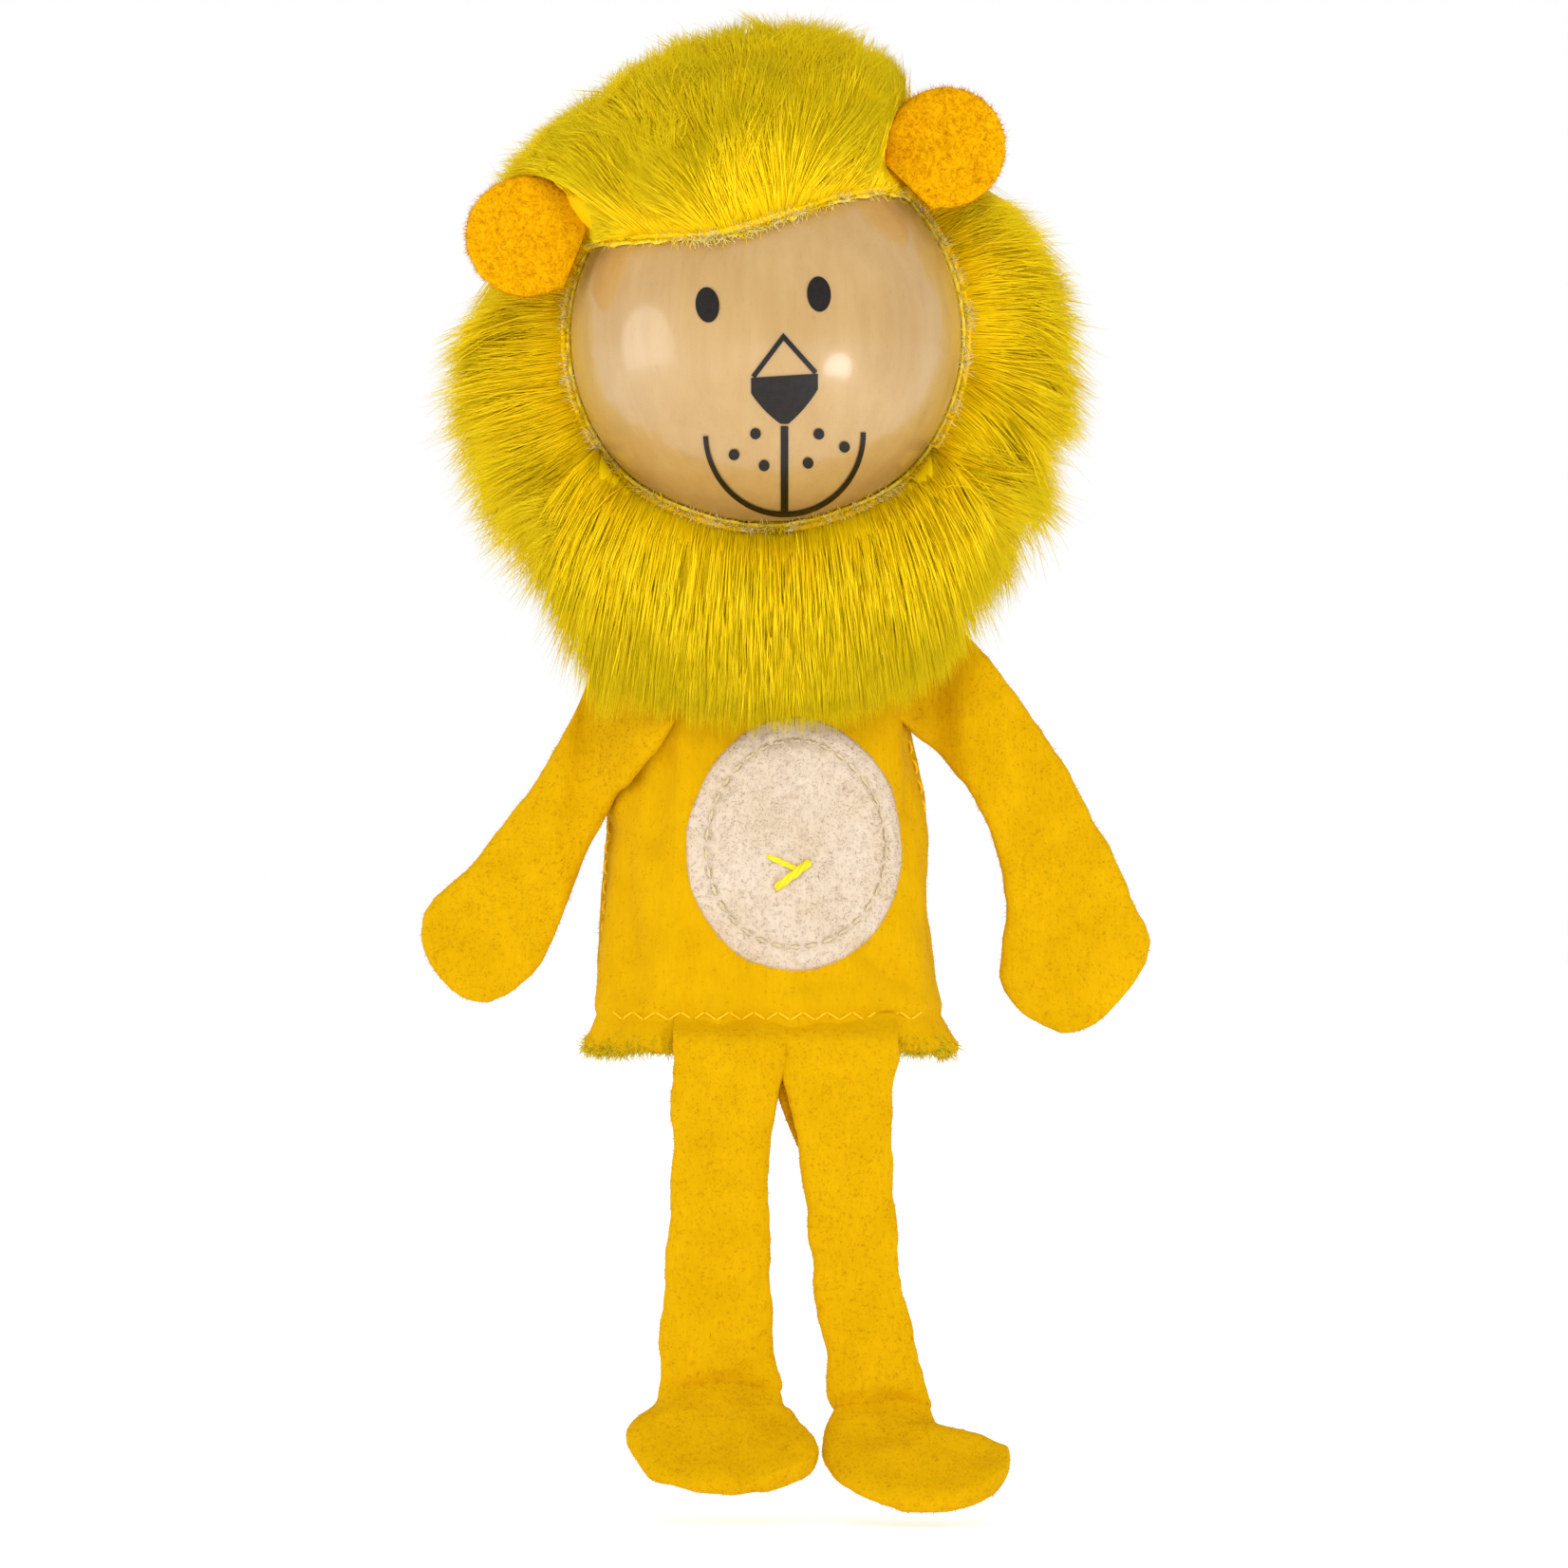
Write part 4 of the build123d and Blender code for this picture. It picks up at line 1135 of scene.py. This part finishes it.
def make_tube():
    """The two panels as one tube of cloth with a wall, down to the curled raw hem."""
    around, up = 240, 110
    turn, cos, sin = circle(around)
    hem = -0.5 + 0.4 * lumps(np.stack([cos, sin, turn * 0], -1) * 15, 7.0, 61)
    share = 1 - np.linspace(0, 1, up) ** 1.25
    rows = [(part, 0.0, 0.0) for part in share]
    for step in np.linspace(0.2, 0.8, 4) * math.pi:
        rows.append((0.0, WALL / 2 * (1 - math.cos(step)), -0.35 * math.sin(step)))
    rows += [(part, WALL, 0.0) for part in share[::-2]]
    for step in np.linspace(0.2, 0.8, 3) * math.pi:
        rows.append((1.0, WALL / 2 * (1 + math.cos(step)), 0.35 * math.sin(step)))
    rings = []
    for part, inset, drop in rows:
        base, out = tube_point(turn, hem + (TUBE_TOP - hem) * part + drop, inset)
        fold = tube_relief(base) * (1.0 if inset < WALL else 0.6)
        rings.append(base + out * fold[:, None])
    cloth = brushed(looped(rings), 9000, keep=lambda spots: np.hypot(spots[:, 0] / 13, spots[:, 1] / 8) > 1.0)
    build("body_cloth", cloth, cloth_finish, "torso", ["front_panel", "back_panel"])
    make_hem_fray(turn, hem)


def make_hem_fray(turn, hem):
    """The raw cut edge below the zigzag row: loose fibres, paler and greener than the nap."""
    pick = rng.uniform(0, TAU, HEM_FIBRES)
    z = np.interp(pick, turn, hem, period=TAU) + rng.uniform(-0.3, 1.3, HEM_FIBRES)
    base, out = tube_point(pick, z, rng.uniform(0, WALL, HEM_FIBRES))
    root = base + out * tube_relief(base)[:, None]
    outward = out * rng.uniform(-0.2, 0.9, (HEM_FIBRES, 1))
    way = unit(outward + [0, 0, -0.7] + rng.normal(size=root.shape) * 0.5)
    length = rng.uniform(*HEM_LENGTHS, (HEM_FIBRES, 1))
    tone = rng.uniform(0, 1, (HEM_FIBRES, 1))
    shade = linear(206, 196, 40) * tone + linear(226, 190, 10) * (1 - tone)
    bend = root + way * length * 0.6
    tip = root + way * length + rng.normal(size=root.shape) * 0.2
    fray = hairs(root, bend, tip, 0.05, shade * 0.8, shade, rings=2)
    build("hem_fray", fray, fur_finish, "torso")


# ---- stitches ----
ZIGZAGS, PITCH, RISE = 26, 1.15, 0.75
SEAM_PITCH, SEAM_STITCH = 1.9, 1.45
THREAD_R = {"zigzag": 0.11, "seam": 0.13, "patch": 0.15}
ALONG = np.linspace(0, 1, 9)  # places along one stitch


def arch(height, power, sink):
    """How high a stitch stands at those places: its ends go down into the cloth."""
    return height * np.sin(ALONG * math.pi) ** power - sink


def make_stitches():
    """The zigzag row round the hem, and a running stitch down each side seam."""
    meshes = []
    for way in (-1, 1):
        for k in range(ZIGZAGS):
            x = (k - ZIGZAGS // 2 + ALONG) * PITCH
            z = HEM_ROW + (ALONG - 0.5) * (RISE if k % 2 else -RISE)
            meshes.append(thread(on_front(x, z, arch(0.24, 0.6, 0.12), way), THREAD_R["zigzag"], 1))
    build("hem_zigzag", join(*meshes), thread_finish, "torso", ["hem_stitches"])
    for side, turn in (("left", 0.0), ("right", math.pi)):
        low, high = box_mm(f"{side}_side_seam")
        meshes = []
        for k in range(int((high[2] - low[2]) / SEAM_PITCH) + 1):
            z = low[2] + k * SEAM_PITCH + SEAM_STITCH * ALONG
            base, out = tube_point(np.full(len(ALONG), turn), z)
            lift = tube_relief(base) + arch(0.3, 0.6, 0.1)
            meshes.append(thread(base + out * lift[:, None], THREAD_R["seam"], 1))
        seam = join(*meshes)
        build(f"{side}_seam_thread", seam, thread_finish, "torso", [f"{side}_side_seam"])


# ---- tummy patch ----
patch_low, patch_high = box_mm("tummy_patch")
PATCH = (patch_low + patch_high) / 2
PATCH_HALF = (patch_high - patch_low) / 2
PATCH_THICK = 0.75
STITCHES = 34
STITCH_ROW = 1 - 1.9 / PATCH_HALF[0]  # the running stitch, as a share of the way out to the edge
STITCH_DENT = 0.22
# The cross stitch's bars: from, to, radius, how far the middle stands proud.
NAVEL_BARS = [((0.9, 14.7), (4.1, 17.3), 0.4, 0.45), ((0.1, 17.8), (3.4, 16.3), 0.28, 0.15)]


def egg(turn, share):
    """A place on the patch: it is slightly fuller at its foot."""
    c, s = np.cos(turn), np.sin(turn)
    x = PATCH[0] + PATCH_HALF[0] * share * c * (1 - 0.05 * s)
    z = PATCH[2] + PATCH_HALF[2] * share * s
    return x, z


def make_patch():
    """The felt patch, dented by its running stitch, and the thread on it."""
    around, rings = 160, 40
    turn, cos, sin = circle(around)
    wavy = 1 + 0.004 * lumps(np.stack([cos, sin, turn * 0], -1) * 10, 5.0, 71)
    profile = [(share, PATCH_THICK * (1 - share**14)) for share in np.linspace(0.001, 1, rings)]
    profile += [(0.99, -0.15), (0.6, -0.2), (0.001, -0.2)]
    sheets = []
    for share, lift in profile:
        dent = STITCH_DENT * math.exp(-(((share - STITCH_ROW) / 0.035) ** 2)) if lift > 0 else 0
        base = on_front(*egg(turn, share * wavy), lift - dent)
        base[:, 1] -= 0.08 * lumps(base, 1.4, 72) * (lift > 0)
        sheets.append(base)
    felt = looped(sheets)
    behind = felt[0][:, 1].mean() + 3
    felt = fuzz(felt, 12000, 0.34, 0.028, (0, -0.2, -0.4), 0.6, keep=lambda spots: spots[:, 1] < behind)
    build("tummy_felt", felt, patch_finish, "torso", ["tummy_patch"])

    meshes = []
    for k in range(STITCHES):
        x, z = egg(TAU * (k + 0.15 + 0.7 * ALONG) / STITCHES, STITCH_ROW)
        meshes.append(thread(on_front(x, z, PATCH_THICK + arch(0.22, 0.7, 0.18)), THREAD_R["patch"], 2))
    build("patch_thread", join(*meshes), cream_thread_finish, "torso", ["patch_stitches"])

    meshes = []
    for start, end, radius, proud in NAVEL_BARS:
        t = np.linspace(0, 1, 25)
        x, z = [a + (b - a) * t for a, b in zip(start, end)]
        meshes.append(thread(on_front(x, z, PATCH_THICK + proud * np.sin(t * math.pi) ** 0.5), radius, 3))
    build("navel_cross", join(*meshes), navel_finish, "torso", ["navel_stitch"])


# ---- neck ----
PLEATS = 18
PLEAT_TOP = 50.0
BINDING_TURNS = 2


def make_neck():
    """The gathered cloth neck glued into the ball, and the thread that binds it."""
    around = 120
    turn, cos, sin = circle(around)
    profile = [(SLEEVE_R, z) for z in np.linspace(sleeve_low[2], sleeve_high[2] - 0.1, 24)]
    profile += [(SOCKET_R + 0.1, z) for z in np.linspace(sleeve_high[2] - 0.1, sleeve_low[2], 12)]
    rings = []
    for radius, z in profile:
        pleated = z < PLEAT_TOP and radius == SLEEVE_R
        r = radius - 0.05 + np.minimum(0.18 * np.sin(turn * PLEATS) * pleated, 0.05)
        rings.append(np.stack([r * cos, r * sin, np.full(around, z)], -1))
    build("neck_cloth", looped(rings), cloth_finish, "head", ["neck_sleeve"])

    low, high = box_mm("neck_binding")
    radius = (high[2] - low[2]) / (2 * BINDING_TURNS)
    wide = SLEEVE_R + radius
    t = np.linspace(0, BINDING_TURNS * TAU, 100 * BINDING_TURNS)
    climb = low[2] + radius + (high[2] - low[2] - 2 * radius) * t / t[-1]
    coil = thread(np.stack([wide * np.cos(t), wide * np.sin(t), climb], -1), radius, 3)
    build("neck_thread", coil, thread_finish, "neck", ["neck_binding"])


# ---- room ----
ROOM_LIGHT = 0.72
FLOOR_GAP, FLOOR_HALF = 0.0012, 3.0
CAMERA_X, CAMERA_Z = 0.0017, 0.0245
FRAME_WIDTH = 0.1479  # how much the camera sees at the head's distance
LENS, SENSOR = 240, 36


def soft_light(name, place, target, size, power, glossy=True):
    data = bpy.data.lights.new(name, "AREA")
    data.shape = "DISK"
    data.size = size
    data.energy = power
    lamp = bpy.data.objects.new(name, data)
    lamp.location = place
    lamp.rotation_euler = (Vector(target) - Vector(place)).to_track_quat("-Z", "Y").to_euler()
    lamp.visible_camera = False
    lamp.visible_glossy = glossy
    bpy.context.scene.collection.objects.link(lamp)


def make_world():
    """Soft white light from all round, behind which the camera sees pure white."""
    world = bpy.data.worlds.new("studio")
    world.use_nodes = True
    nodes, links = world.node_tree.nodes, world.node_tree.links
    nodes["Background"].inputs["Color"].default_value = (1, 1, 1, 1)
    seen = nodes.new("ShaderNodeLightPath")
    strength = nodes.new("ShaderNodeMapRange")
    strength.inputs["To Min"].default_value = ROOM_LIGHT
    strength.inputs["To Max"].default_value = 1.0
    links.new(seen.outputs["Is Camera Ray"], strength.inputs["Value"])
    links.new(strength.outputs["Result"], nodes["Background"].inputs["Strength"])
    bpy.context.scene.world = world
    bpy.context.scene.view_settings.view_transform = "Standard"


def make_floor():
    z = cad_low[2] - FLOOR_GAP
    corners = [(x * FLOOR_HALF, y * FLOOR_HALF, z) for x, y in ((-1, -1), (1, -1), (1, 1), (-1, 1))]
    data = bpy.data.meshes.new("floor")
    data.from_pydata(corners, [], [(0, 1, 2, 3)])
    glow = {"Emission_Color": (1, 1, 1, 1), "Emission_Strength": 0.45}
    data.materials.append(material("pale floor", 0.8, Base_Color=(0.92, 0.92, 0.92, 1), **glow)[0])
    floor = bpy.data.objects.new("floor", data)
    bpy.context.scene.collection.objects.link(floor)


def make_camera():
    data = bpy.data.cameras.new("camera")
    data.lens = LENS
    data.sensor_width = SENSOR
    data.clip_start = 0.01
    camera = bpy.data.objects.new("camera", data)
    bpy.context.scene.collection.objects.link(camera)
    camera.location = (CAMERA_X, BALL[1] * MM - FRAME_WIDTH * LENS / SENSOR, CAMERA_Z)
    camera.rotation_euler = (math.radians(90), 0, 0)
    bpy.context.scene.camera = camera


def make_room():
    """A pale floor and soft studio light."""
    make_world()
    make_floor()
    head = Vector(BALL * MM)
    soft_light("key", head + Vector((0.193, -0.200, -0.094)), head, 0.085, 0.17)
    soft_light("window", head + Vector((-0.42, -0.12, -0.045)), (0, 0, 0.03), 0.30, 0.6)
    soft_light("front", (0.05, -0.80, 0.48), (0, 0, 0.04), 0.5, 2.7, glossy=False)
    make_camera()


make_head()
make_mane()
make_beard()
make_ears()
make_arms()
make_legs()
make_tube()
make_stitches()
make_patch()
make_neck()
make_room()
